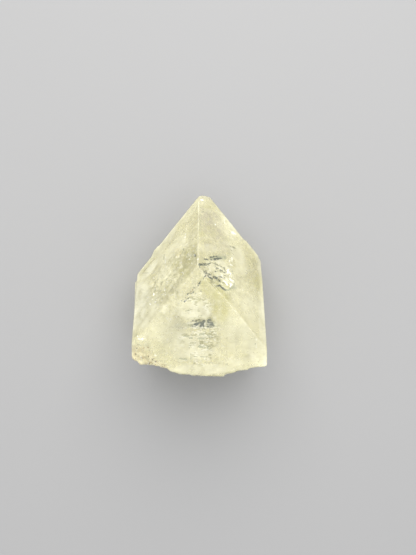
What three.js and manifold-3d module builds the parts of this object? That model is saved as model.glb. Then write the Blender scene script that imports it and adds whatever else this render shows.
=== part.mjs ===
// A single apophyllite crystal: a square prism closed by a four-faced pyramid and broken off across its base.
// It lies on one side face. Its long axis runs along +Y to the tip, +X is to its right, and +Z is up.
// Lengths are in millimetres. The origin is under the middle of the crystal, on the plane that it rests on.

import * as THREE from "three";
import { ConvexGeometry } from "three/addons/geometries/ConvexGeometry.js";
import { mergeVertices } from "three/addons/utils/BufferGeometryUtils.js";
import Module from "manifold-3d";

// Driving dimensions.
const WIDTH = 24.7; // between the left and right side faces
const THICKNESS = 24.2; // between the resting face and the upper face
const TIP_Y = 17.2; // height of the tip along the long axis
const BREAK_Y = -17.2; // lowest point of the broken base
const ROOT_Y = -21; // where the ideal crystal is cut square, well below the break
const PYRAMID_ANGLE = THREE.MathUtils.degToRad(60.4); // pyramid face against the basal plane
const TIP_X = -0.15; // left end of the short edge that forms the tip
const TIP_Z = 12.8;
const TIP_EDGE = 2.1; // run of that edge, in X and in Z
const LAYER_DEPTH = 1.2; // how far a growth layer's solid is sunk into the crystal
const RISER_LEAN = 0.7; // lean of a growth layer's edge: 0 is upright
const BREAK_CELL = 1.3; // grid of the swells that the broken base follows
const BREAK_HOLLOW = 0.9; // mean depth of the break inside its outlines
const BREAK_RIM = 2.4; // width over which it rises to them
const OVERHANG = 2; // how far cutters reach past the crystal
const SLICE = 0.02; // thickness of the slice that becomes one ledge
const LIP = 1.1; // how far below the upper face the break's edge is worn to its outline
const FACET_RUNOUT = 2; // a worn facet's slope at its end: 0 is upright
const CHIP_SEED = 77;
const CHIP_ROUGHNESS = 0.12; // how far a chip's surface strays from round, as a share of its size
const PIT_FLARE = 1.2; // a pit's half width against its depth
const PIT_DEPTH = [0.1, 0.32]; // shallowest and deepest
const PIT_STRETCH = [0.7, 1.2]; // narrowest and longest, against square
const PIT_CLEARANCE = 0.5; // how far a pit's cutter stands out of the ideal face
const CRACK_SEED = 401;
const CRACK_RIM_POINTS = 11;
const CRACK_MOUTH_POINTS = 5; // along each lip
const CRACK_RAGGEDNESS = 0.25; // how far a crack's lips and rim stray inwards, as a share of their reach
const CRACK_LIFT = 1.2; // how far a crack's cutter stands out of the ideal face

// How fast a pyramid edge closes in on the long axis, across one side face.
const EDGE_SLOPE = Math.SQRT2 / Math.tan(PYRAMID_ANGLE);

const CRYSTAL_COLOUR = 0xe8e3bd;

const wasm = await Module();
wasm.setup();

// ---- helpers ---------------------------------------------------------------------------------------

// Repeatable random numbers from 0 to 1.
function randomFrom(seed) {
  let state = seed;
  return () => {
    state = (state * 1664525 + 1013904223) >>> 0;
    return state / 4294967296;
  };
}

// A closed three.js geometry as a solid that can be joined and cut.
function solidOf(geometry) {
  const plain = geometry.clone();
  plain.deleteAttribute("normal");
  plain.deleteAttribute("uv");
  const merged = mergeVertices(plain, 1e-4);
  return new wasm.Manifold(
    new wasm.Mesh({
      numProp: 3,
      vertProperties: new Float32Array(merged.attributes.position.array),
      triVerts: new Uint32Array(merged.index.array),
    }),
  );
}

// A solid as a three.js geometry with flat faces.
function geometryOf(solid) {
  const mesh = solid.getMesh();
  const positions = new Float32Array(mesh.numVert * 3);
  for (let i = 0; i < mesh.numVert; i++) {
    positions.set(mesh.vertProperties.subarray(i * mesh.numProp, i * mesh.numProp + 3), i * 3);
  }
  const geometry = new THREE.BufferGeometry();
  geometry.setAttribute("position", new THREE.BufferAttribute(positions, 3));
  geometry.setIndex(new THREE.BufferAttribute(new Uint32Array(mesh.triVerts), 1));
  const flat = geometry.toNonIndexed();
  flat.computeVertexNormals();
  return flat;
}

// The half space on the inner side of the plane through a point that faces this outward direction.
function halfSpace(direction, point) {
  const normal = direction.clone().normalize();
  return new THREE.Plane(normal, -normal.dot(point));
}

// The same half space, grown outwards.
function grown(plane, rise) {
  return new THREE.Plane(plane.normal.clone(), plane.constant - rise);
}

// The corners of the convex body that the half spaces bound.
function cornersOf(planes) {
  const corners = [];
  const matrix = new THREE.Matrix3();
  for (let i = 0; i < planes.length; i++) {
    for (let j = i + 1; j < planes.length; j++) {
      for (let k = j + 1; k < planes.length; k++) {
        const [a, b, c] = [planes[i], planes[j], planes[k]];
        matrix.set(...a.normal.toArray(), ...b.normal.toArray(), ...c.normal.toArray());
        if (Math.abs(matrix.determinant()) < 1e-6) continue;
        const corner = new THREE.Vector3(-a.constant, -b.constant, -c.constant);
        corner.applyMatrix3(matrix.clone().invert());
        const inside = planes.every((p) => p.distanceToPoint(corner) < 1e-5);
        const known = corners.some((other) => other.distanceTo(corner) < 1e-4);
        if (inside && !known) corners.push(corner);
      }
    }
  }
  return corners;
}

function convexSolid(planes) {
  return solidOf(new ConvexGeometry(cornersOf(planes)));
}

function smooth(low, high, value) {
  return THREE.MathUtils.smoothstep(value, low, high);
}

// The height of a polyline at x.
function alongOutline(outline, x) {
  const next = outline.findIndex((point) => point[0] > x);
  if (next === 0) return outline[0][1];
  if (next < 0) return outline[outline.length - 1][1];
  const [before, after] = [outline[next - 1], outline[next]];
  return THREE.MathUtils.mapLinear(x, before[0], after[0], before[1], after[1]);
}

// ---- the ideal crystal -----------------------------------------------------------------------------

const tipLeft = new THREE.Vector3(TIP_X, TIP_Y, TIP_Z);
const tipRight = new THREE.Vector3(TIP_X + TIP_EDGE, TIP_Y, TIP_Z - TIP_EDGE);

const faces = {
  right: halfSpace(new THREE.Vector3(1, 0, 0), new THREE.Vector3(WIDTH / 2, 0, 0)),
  left: halfSpace(new THREE.Vector3(-1, 0, 0), new THREE.Vector3(-WIDTH / 2, 0, 0)),
  upper: halfSpace(new THREE.Vector3(0, 0, 1), new THREE.Vector3(0, 0, THICKNESS)),
  resting: halfSpace(new THREE.Vector3(0, 0, -1), new THREE.Vector3(0, 0, 0)),
  upperRight: halfSpace(new THREE.Vector3(1, EDGE_SLOPE, 1), tipLeft),
  upperLeft: halfSpace(new THREE.Vector3(-1, EDGE_SLOPE, 1), tipLeft),
  lowerRight: halfSpace(new THREE.Vector3(1, EDGE_SLOPE, -1), tipRight),
  lowerLeft: halfSpace(new THREE.Vector3(-1, EDGE_SLOPE, -1), tipRight),
  root: halfSpace(new THREE.Vector3(0, -1, 0), new THREE.Vector3(0, ROOT_Y, 0)),
};

// A frame on a face: its middle, its outward direction, the direction up the crystal and the one across.
function faceFrame(name) {
  const plane = faces[name];
  const onFace = cornersOf(Object.values(faces)).filter((p) => Math.abs(plane.distanceToPoint(p)) < 1e-3);
  const middle = onFace.reduce((sum, p) => sum.add(p), new THREE.Vector3()).divideScalar(onFace.length);
  const up = new THREE.Vector3(0, 1, 0).projectOnPlane(plane.normal).normalize();
  const across = new THREE.Vector3().crossVectors(up, plane.normal);
  return { middle, out: plane.normal, up, across };
}

function pointOnFace(name, across, up) {
  const frame = faceFrame(name);
  return frame.middle.clone().addScaledVector(frame.across, across).addScaledVector(frame.up, up);
}

// ---- growth layers ---------------------------------------------------------------------------------

// Each layer raises one face, or two that meet, inside a polygon whose sides are given as
// [direction in degrees from across, distance from the face's middle]. With a slope it is a steep face:
// its rise grows up the crystal.
const GROWTH_LAYERS = [
  { on: ["upperRight", "lowerRight"], rise: 0.17, sides: [[90, 2.9]] },
  { on: ["left"], rise: -0.43, slope: 0.064, sides: [[90, 13.4]] },
  { on: ["lowerRight"], rise: 0.2, sides: [[90, -1.5], [30, 3.5]] },
  { on: ["upperLeft", "lowerLeft"], rise: 0.12, sides: [[90, 5.2]] },
  { on: ["upperLeft"], rise: 0.22, sides: [[52, 0.6], [128, 4.6]] },
  { on: ["lowerLeft"], rise: 0.3, sides: [[52, -0.4], [128, 1.6]] },
  { on: ["left"], rise: 0.32, sides: [[52, 2.5], [128, 5.2], [-90, 0.5]] },
  { on: ["left"], rise: 0.16, sides: [[90, -2.2]] },
  { on: ["right"], rise: 0.18, sides: [[38, 1.2], [142, 4.4]] },
  { on: ["right"], rise: 0.36, sides: [[60, -3.2], [120, -1.0]] },
  { on: ["upper"], rise: 0.06, sides: [[128, -4.4], [58, 4.6]] },
  { on: ["upper"], rise: 0.05, sides: [[52, -4.8], [90, -3.1]] },
];

// The face's own corners and the layer's sides bound a slab whose outer face lies proud of the crystal.
function growthLayer(layer) {
  const frame = faceFrame(layer.on[0]);
  const sides = layer.sides.map(([degrees, reach]) => {
    const angle = THREE.MathUtils.degToRad(degrees);
    const heading = frame.across.clone().multiplyScalar(Math.cos(angle));
    heading.addScaledVector(frame.up, Math.sin(angle));
    const lean = heading.clone().addScaledVector(frame.out, RISER_LEAN);
    return halfSpace(lean, frame.middle.clone().addScaledVector(heading, reach));
  });
  const floor = layer.on.length > 1 ? [] : [grown(faces[layer.on[0]], -LAYER_DEPTH).negate()];
  const shell = Object.entries(faces).map(([name, plane]) =>
    layer.on.includes(name) ? raisedFace(name, layer) : plane,
  );
  return convexSolid([...shell, ...sides, ...floor]);
}

function raisedFace(name, { rise, slope = 0 }) {
  const frame = faceFrame(name);
  const outward = frame.out.clone().addScaledVector(frame.up, -slope);
  return halfSpace(outward, frame.middle.clone().addScaledVector(frame.out, rise));
}

// ---- worn edges ------------------------------------------------------------------------------------

// Edges worn to a flat facet: the way it faces, a point on it, and the stretch of the long axis it covers.
const FACETS = [
  { facing: [-1, 0.8, 0.85], through: [-9.1, 1.9, 16.1], from: 1.7, to: 5.0 },
  { facing: [1, 0.8, 0.62], through: [12.35, 1.9, 12.2], from: 0.6, to: 3.2 },
];

// The planes that cut the worn tip round: the way each faces and a point on it.
const TIP_PLANES = [
  { facing: [-0.6, 1, 0], through: [0.2, TIP_Y, 12.4] },
  { facing: [1, 1, 0], through: [1.8, TIP_Y, 11.0] },
  { facing: [0.2, 1, 0.7], through: [0.9, TIP_Y - 0.1, 12.2] },
  { facing: [-0.2, 1, -0.7], through: [0.9, TIP_Y - 0.1, 11.3] },
];

function tipCutter({ facing, through }) {
  const outside = halfSpace(new THREE.Vector3(...facing), new THREE.Vector3(...through)).negate();
  const around = Object.values(faces).map((plane) => grown(plane, OVERHANG));
  return convexSolid([...around, outside]);
}

// The facet's upper end runs out of the crystal at a slope.
function facetCutter({ facing, through, from, to }) {
  const out = new THREE.Vector3(...facing).normalize();
  const point = new THREE.Vector3(...through);
  const up = new THREE.Vector3(0, 1, 0).projectOnPlane(out);
  const end = point.clone().addScaledVector(up, (to - point.y) / up.y);
  const facet = halfSpace(out, point).negate();
  const lower = halfSpace(new THREE.Vector3(0, -1, 0), new THREE.Vector3(0, from, 0));
  const upper = halfSpace(up.addScaledVector(out, -FACET_RUNOUT), end);
  const around = Object.values(faces).map((plane) => grown(plane, OVERHANG));
  return convexSolid([...around, facet, lower, upper]);
}

// ---- the broken base -------------------------------------------------------------------------------

// The break where it meets the upper face and the resting face, from left to right.
const UPPER_BREAK = [
  [-12.6, -13.3], [-12.1, -14.0], [-11.3, -14.95], [-9.4, -15.0], [-8.3, -15.15], [-5.8, -15.75],
  [-5.3, -16.2], [-3.8, -16.7], [-1.3, -17.05], [4.6, -17.2], [4.9, -16.75], [6.5, -16.5],
  [6.8, -16.2], [9.1, -15.95], [9.2, -15.7], [10.6, -15.5], [12.1, -15.4], [12.6, -15.1],
];
const RESTING_BREAK = [
  [-12.6, -13.9], [-8.0, -14.6], [-6.5, -15.6], [1.0, -15.9], [2.4, -16.6], [8.5, -16.3], [12.5, -14.6],
];

// The heights of the flat ledges. They lie across the long axis, because the crystal cleaves that way.
const LEDGES = [-17.2, -16.85, -16.4, -15.8, -15.3, -14.6, -14.0, -13.3];

// The swells that the ledges follow: height, waves per millimetre along X and Z in radians, and phase.
const SWELLS = [
  { height: 1.1, alongX: 0.21, alongZ: 0.3, phase: 0.4 },
  { height: 0.8, alongX: -0.34, alongZ: 0.43, phase: 2.1 },
  { height: 0.25, alongX: 1.7, alongZ: -0.4, phase: 1.6 },
  { height: 0.2, alongX: 0.9, alongZ: 1.4, phase: 0 },
];

// The mean surface of the break: its two outlines, and between them hollows that only ever go deeper.
function breakHeight(x, z) {
  const [resting, upper] = [alongOutline(RESTING_BREAK, x), alongOutline(UPPER_BREAK, x)];
  const heights = SWELLS.map((s) => s.height * Math.sin(s.alongX * x + s.alongZ * z + s.phase));
  const swell = heights.reduce((sum, height) => sum + height);
  const inner = smooth(0, BREAK_RIM, z) * smooth(0, BREAK_RIM, THICKNESS - z);
  return THREE.MathUtils.lerp(resting, upper, z / THICKNESS) + Math.max(BREAK_HOLLOW + swell, 0) * inner;
}

// Everything below that mean surface.
function breakBlock() {
  const [wide, deep] = [WIDTH + 2 * OVERHANG, THICKNESS + 2 * OVERHANG];
  const [across, along] = [Math.round(wide / BREAK_CELL), Math.round(deep / BREAK_CELL)];
  const tall = BREAK_Y - ROOT_Y + OVERHANG;
  const block = new THREE.BoxGeometry(wide, tall, deep, across, 1, along);
  block.translate(0, BREAK_Y - tall / 2, THICKNESS / 2);
  const position = block.attributes.position;
  for (let i = 0; i < position.count; i++) {
    if (position.getY(i) > BREAK_Y - tall / 2) {
      position.setY(i, breakHeight(position.getX(i), position.getZ(i)));
    }
  }
  return solidOf(block);
}

// One ledge: a slice of the block just under the ledge's height, drawn out down past the root.
function ledgeCutter(block, height) {
  const slab = new THREE.BoxGeometry(2 * WIDTH, SLICE, 2 * THICKNESS);
  slab.translate(0, height - SLICE / 2, THICKNESS / 2);
  const slice = geometryOf(block.intersect(solidOf(slab)));
  const stretch = (height - ROOT_Y + OVERHANG) / SLICE;
  return solidOf(slice.translate(0, -height, 0).scale(1, stretch, 1).translate(0, height, 0));
}

// A lip along the upper face, where the stair of ledges is worn away to the break's outline.
function lipCutter() {
  const [first, last] = [UPPER_BREAK[0][1], UPPER_BREAK.at(-1)[1]];
  const below = [[WIDTH, last], [WIDTH, ROOT_Y - OVERHANG], [-WIDTH, ROOT_Y - OVERHANG], [-WIDTH, first]];
  const outline = new THREE.Shape([...below, ...UPPER_BREAK].map((point) => new THREE.Vector2(...point)));
  const lip = new THREE.ExtrudeGeometry(outline, { depth: LIP + OVERHANG, bevelEnabled: false });
  return solidOf(lip.translate(0, 0, THICKNESS - LIP));
}

function breakCutters() {
  const block = breakBlock();
  return [lipCutter(), ...LEDGES.map((height) => ledgeCutter(block, height))];
}

// ---- chips, pits and the bruise --------------------------------------------------------------------

// Lost flakes: [centre], [half sizes], turn about the long axis in degrees.
const CHIPS = [
  { at: [-12.9, -15.2, 26.3], size: [5.3, 5.0, 3.2], turn: 0 },
  { at: [-13.3, -15.6, 21.6], size: [1.5, 2.6, 3.4], turn: 0 },
  { at: [12.9, -15.9, 24.0], size: [0.8, 1.4, 1.1], turn: 20 },
  { at: [-12.9, -13.8, 1.0], size: [1.7, 3.6, 1.6], turn: 0 },
  { at: [13.1, -14.5, 0.2], size: [2.0, 2.4, 1.7], turn: 45 },
  { at: [12.8, -9.0, -0.2], size: [1.0, 2.6, 1.0], turn: 10 },
  { at: [-13.0, -5.5, 8.6], size: [0.9, 2.1, 2.4], turn: 0 },
  { at: [9.1, 10.4, 10.2], size: [0.7, 1.2, 1.3], turn: 35 },
  { at: [1.9, 5.0, -0.5], size: [1.2, 1.8, 1.0], turn: 0 },
];

function chipCutter(chip, index) {
  const random = randomFrom(CHIP_SEED + index);
  const ball = new THREE.IcosahedronGeometry(1, 2).deleteAttribute("normal").deleteAttribute("uv");
  const lump = mergeVertices(ball, 1e-3);
  const position = lump.attributes.position;
  const point = new THREE.Vector3();
  for (let i = 0; i < position.count; i++) {
    point.fromBufferAttribute(position, i).multiplyScalar(1 + CHIP_ROUGHNESS * (2 * random() - 1));
    position.setXYZ(i, point.x, point.y, point.z);
  }
  lump.scale(...chip.size);
  lump.rotateY(THREE.MathUtils.degToRad(chip.turn));
  lump.translate(...chip.at);
  return solidOf(lump);
}

// Patches of four-sided etch pits: the face, the patch's middle and half sizes on it, and how many.
const PIT_PATCHES = [
  { on: "upperLeft", at: [2.5, -4.2], reach: [5.0, 4.4], count: 24, seed: 5 },
  { on: "upperRight", at: [-1.6, 5.2], reach: [2.6, 3.2], count: 8, seed: 12 },
  { on: "lowerLeft", at: [0, 0], reach: [5.0, 5.5], count: 12, seed: 21 },
  { on: "lowerRight", at: [0.5, -1], reach: [4.5, 5.5], count: 10, seed: 33 },
  { on: "left", at: [1.5, -3.5], reach: [6.5, 4.5], count: 8, seed: 41 },
  { on: "right", at: [-1.0, -4.0], reach: [6.5, 4.5], count: 8, seed: 54 },
];

function pitCutters(patch) {
  const random = randomFrom(patch.seed);
  const frame = faceFrame(patch.on);
  const turn = new THREE.Matrix4().makeBasis(frame.across, frame.out, frame.across.clone().cross(frame.out));
  return Array.from({ length: patch.count }, () => {
    const across = patch.at[0] + patch.reach[0] * (2 * random() - 1);
    const up = patch.at[1] + patch.reach[1] * (2 * random() - 1);
    const depth = THREE.MathUtils.lerp(...PIT_DEPTH, random() ** 2);
    const pit = new THREE.ConeGeometry(PIT_FLARE * (depth + PIT_CLEARANCE), depth + PIT_CLEARANCE, 4);
    pit.rotateX(Math.PI).translate(0, (PIT_CLEARANCE - depth) / 2, 0);
    pit.scale(1, 1, THREE.MathUtils.lerp(...PIT_STRETCH, random()));
    pit.applyMatrix4(turn);
    return solidOf(pit.translate(...pointOnFace(patch.on, across, up)));
  });
}

// A shell-shaped bruise on the upper right face, against its edge with the upper face: a shallow bowl
// with ripples round its middle.
const BRUISE = {
  at: [2.9, 0.4, 24.0],
  radius: 4.6,
  depth: 0.75,
  squash: 0.86, // its width along the edge, against its width across the face
  ripples: 5,
  ripple: 0.1,
  ringsPerRipple: 3,
  sides: 28,
  lid: 3, // how far its cutter stands out of the face
};

function bruiseCutter() {
  const rings = BRUISE.ripples * BRUISE.ringsPerRipple;
  const bowl = Array.from({ length: rings + 1 }, (_, i) => {
    const share = i / rings;
    const ripple = BRUISE.ripple * Math.sin(2 * Math.PI * BRUISE.ripples * share) * share;
    return new THREE.Vector2(BRUISE.radius * share, -BRUISE.depth * (1 - share ** 3) + ripple * (1 - share));
  });
  const lid = [new THREE.Vector2(BRUISE.radius, BRUISE.lid), new THREE.Vector2(0, BRUISE.lid)];
  const shell = new THREE.LatheGeometry([...bowl, ...lid], BRUISE.sides);
  shell.scale(1, 1, BRUISE.squash);
  const out = faces.upperRight.normal.clone();
  const across = new THREE.Vector3(0, 0, 1).projectOnPlane(out).normalize();
  shell.applyMatrix4(new THREE.Matrix4().makeBasis(across, out, across.clone().cross(out)));
  return solidOf(shell.translate(...BRUISE.at));
}

// ---- cleavage cracks -------------------------------------------------------------------------------

// Open cracks that run in from a face across the long axis, because the crystal cleaves that way: the face,
// the middle of the mouth on it, half the mouth's width, how deep the crack runs, half its gape, and its lean
// towards the tip in degrees.
const CRACKS = [
  { on: "upper", at: [0.15, 5.75], half: 1.2, depth: 4.4, gape: 0.24, lean: -18 },
  { on: "upper", at: [2.25, 5.6], half: 0.85, depth: 3.6, gape: 0.22, lean: -14 },
  { on: "upper", at: [0.65, 3.15], half: 0.8, depth: 2.8, gape: 0.15, lean: 6 },
  { on: "upper", at: [0.9, 0.95], half: 1.0, depth: 3.4, gape: 0.15, lean: -4 },
  { on: "upper", at: [-2.8, -1.15], half: 1.4, depth: 3.0, gape: 0.15, lean: 5 },
  { on: "upperRight", at: [-3.9, -1.3], half: 2.4, depth: 3.6, gape: 0.2, lean: -8 },
  { on: "upperRight", at: [-7.6, -2.9], half: 1.4, depth: 2.8, gape: 0.2, lean: 6 },
  { on: "upperRight", at: [-4.3, -5.6], half: 0.9, depth: 2.4, gape: 0.2, lean: -12 },
  { on: "left", at: [-2.2, 4.6], half: 2.6, depth: 4.2, gape: 0.22, lean: 5 },
  { on: "left", at: [2.8, 0.6], half: 1.6, depth: 3.4, gape: 0.2, lean: -6 },
  { on: "right", at: [2.8, 3.9], half: 2.8, depth: 4.6, gape: 0.24, lean: -5 },
  { on: "right", at: [-0.2, 8.9], half: 1.5, depth: 3.2, gape: 0.2, lean: 8 },
  { on: "lowerLeft", at: [1.6, 2.2], half: 1.8, depth: 3.6, gape: 0.22, lean: -9 },
  { on: "resting", at: [2.4, 6.2], half: 2.4, depth: 4.2, gape: 0.22, lean: 7 },
];

// A wedge with a lens-shaped mouth outside the face and a rim that rounds off in a half ellipse.
function crackCutter({ on, at, half, depth, gape, lean }, index) {
  const random = randomFrom(CRACK_SEED + index);
  const frame = faceFrame(on);
  const middle = pointOnFace(on, ...at);
  const inwards = frame.out.clone().projectOnPlane(new THREE.Vector3(0, 1, 0)).normalize().negate();
  const opening = new THREE.Vector3(0, 1, 0);
  [inwards, opening].forEach((way) => way.applyAxisAngle(frame.across, THREE.MathUtils.degToRad(lean)));
  const place = (across, deep, open) => {
    const point = middle.clone().addScaledVector(frame.across, across);
    return point.addScaledVector(inwards, deep).addScaledVector(opening, open);
  };
  const widest = gape * (1 + CRACK_LIFT / depth);
  const mouth = Array.from({ length: 2 * CRACK_MOUTH_POINTS }, (_, i) => {
    const angle = (Math.PI * i) / CRACK_MOUTH_POINTS;
    const reach = 1 - CRACK_RAGGEDNESS * random();
    return place(half * Math.cos(angle), -CRACK_LIFT, widest * reach * Math.sin(angle));
  });
  const rim = Array.from({ length: CRACK_RIM_POINTS }, (_, i) => {
    const angle = (Math.PI * i) / (CRACK_RIM_POINTS - 1);
    const reach = 1 - CRACK_RAGGEDNESS * random();
    return place(half * reach * Math.cos(angle), depth * reach * Math.sin(angle), 0);
  });
  return solidOf(new ConvexGeometry([...mouth, ...rim]));
}

// ---- the crystal -----------------------------------------------------------------------------------

function crystalSolid() {
  const grownCrystal = GROWTH_LAYERS.map(growthLayer).reduce(
    (solid, layer) => solid.add(layer),
    convexSolid(Object.values(faces)),
  );
  const flakes = [bruiseCutter(), ...CHIPS.map(chipCutter), ...PIT_PATCHES.flatMap(pitCutters)];
  const wear = [...FACETS.map(facetCutter), ...TIP_PLANES.map(tipCutter), ...flakes];
  const cutters = [...breakCutters(), ...wear, ...CRACKS.map(crackCutter)];
  return cutters.reduce((solid, cutter) => solid.subtract(cutter), grownCrystal);
}

// The solid with the middle of its box over the origin.
function centred(geometry) {
  geometry.computeBoundingBox();
  const { min, max } = geometry.boundingBox;
  return geometry.translate(-(min.x + max.x) / 2, -(min.y + max.y) / 2, -min.z);
}

const crystal = new THREE.Mesh(
  centred(geometryOf(crystalSolid())),
  new THREE.MeshStandardMaterial({ color: CRYSTAL_COLOUR, roughness: 0.3, metalness: 0 }),
);
crystal.name = "crystal";

const part = new THREE.Group();
part.add(crystal);

export default part;
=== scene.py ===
"""The looks of a single apophyllite crystal that lies on one side face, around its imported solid.

Every length is in metres. The crystal's long axis runs along +Y to the tip, and +Z is up.
"""

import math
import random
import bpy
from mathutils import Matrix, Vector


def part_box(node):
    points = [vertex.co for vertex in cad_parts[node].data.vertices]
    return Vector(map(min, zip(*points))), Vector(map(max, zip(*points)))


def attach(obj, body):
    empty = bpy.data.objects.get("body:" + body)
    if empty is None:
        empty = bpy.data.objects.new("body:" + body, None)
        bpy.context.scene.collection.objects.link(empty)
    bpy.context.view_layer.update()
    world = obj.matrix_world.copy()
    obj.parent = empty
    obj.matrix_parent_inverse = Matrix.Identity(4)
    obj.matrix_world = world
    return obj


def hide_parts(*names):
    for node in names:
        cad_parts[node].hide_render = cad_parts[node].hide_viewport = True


bl_info = {
    "name": "Apophyllite Pyramid",
    "version": (1, 0, 0),
    "blender": (4, 5, 0),
    "location": "3D View > Sidebar > Apophyllite",
    "description": "Gives a crystal's solid its worn surface, cleavage cracks, cloudy veils and grains",
    "category": "Object",
}

from types import SimpleNamespace

import bmesh
import bpy
import numpy as np
from bpy.props import FloatProperty, FloatVectorProperty, IntProperty, PointerProperty
from mathutils import Matrix, Vector, noise
from mathutils.bvhtree import BVHTree

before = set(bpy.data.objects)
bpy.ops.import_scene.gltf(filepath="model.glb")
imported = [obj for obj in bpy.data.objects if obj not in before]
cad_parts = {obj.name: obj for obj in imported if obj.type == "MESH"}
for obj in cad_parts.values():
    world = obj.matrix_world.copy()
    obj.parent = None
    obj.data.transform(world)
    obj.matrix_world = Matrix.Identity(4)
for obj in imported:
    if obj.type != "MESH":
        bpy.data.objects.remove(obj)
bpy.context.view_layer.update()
LOW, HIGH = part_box("crystal")

MM = 0.001
BODY = "root"
NODE = "crystal"
PIECE = "apophyllite_crystal"

WIDTH, LENGTH, THICKNESS = HIGH - LOW
MIDDLE = (LOW + HIGH) / 2

DOWN, UP, RIGHT, LEFT = (0, 0, -1), (0, 0, 1), (1, 0, 0), (-1, 0, 0)
DOWN_LEFT, UP_RIGHT = (-0.7, 0, -0.7), (0.7, 0, 0.7)
AHEAD = (0, 1, 0)  # the long axis, towards the tip

TIP_CAP = 0.962  # where the worn tip starts, as a share of the length
STROKE_REACH = 0.6 * MM  # how far from its rim a stroke is still felt
OUTLINE_ROW = 0.3 * MM  # the length of one row when the outline is measured
LIT_RIM_WIDTH = 1.3 * MM  # how far in from the outline the crystal looks cloudier and is painted paler, as painted light through its thin edge
LEAST_RISE = 0.1  # how far up the surface has to look to carry a loose grain
LUMPINESS = 0.22  # how far an irregular grain strays from a ball
VEIL_SEED, CRUMB_SEED, SUGAR_SEED = 31, 47, 59  # what the random draws of each piece start from

# The pyramid faces stand 60.4 degrees to the crystal's base, two on each side of every prism edge.
PYRAMID_ANGLE = math.radians(60.4)
PYRAMID_SLOPE = math.sqrt(2) / math.tan(PYRAMID_ANGLE)

# The camera stands right of the crystal's middle, towards its tip and over its top: shares of the
# crystal's width, length and thickness. The lamps stand so many crystal lengths from its middle.
CAMERA_RIGHT, CAMERA_AHEAD, CAMERA_OVER = 0.0684, 0.024, 4.936
KEY_PLACE, KEY_SIZE, KEY_COLOUR = (0.6, 6.8, 8.5), 14, (1.0, 0.985, 0.95)
OVERHEAD_PLACE, OVERHEAD_SIZE, OVERHEAD_COLOUR = (0.6, 0.5, 9.5), 12, (0.96, 0.98, 1.0)


# ---- places on the crystal -------------------------------------------------------------------------


def place(across, along, up):
    """A point in the crystal's box, from shares of its width, length and thickness."""
    return LOW + Vector((across * WIDTH, along * LENGTH, up * THICKNESS))


def share_along(points):
    """How far along the crystal each point lies: 0 at the broken base and 1 at the tip."""
    return (points[:, 1] - LOW.y) / LENGTH


def smooth(low, high, value):
    """0 at low and 1 at high with soft ends, for an array. High may be the smaller one."""
    share = np.clip((value - low) / (high - low), 0, 1)
    return share * share * (3 - 2 * share)


def facing_up(normals, low=0.1, high=0.5):
    """0 where the surface looks sideways or down and 1 where it looks up."""
    return smooth(low, high, normals[:, 2])


def pyramid_facing(side, up):
    """The outward direction of one pyramid face: side is 1 for the right and -1 for the left."""
    return Vector((side, PYRAMID_SLOPE, up)).normalized()


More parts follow.
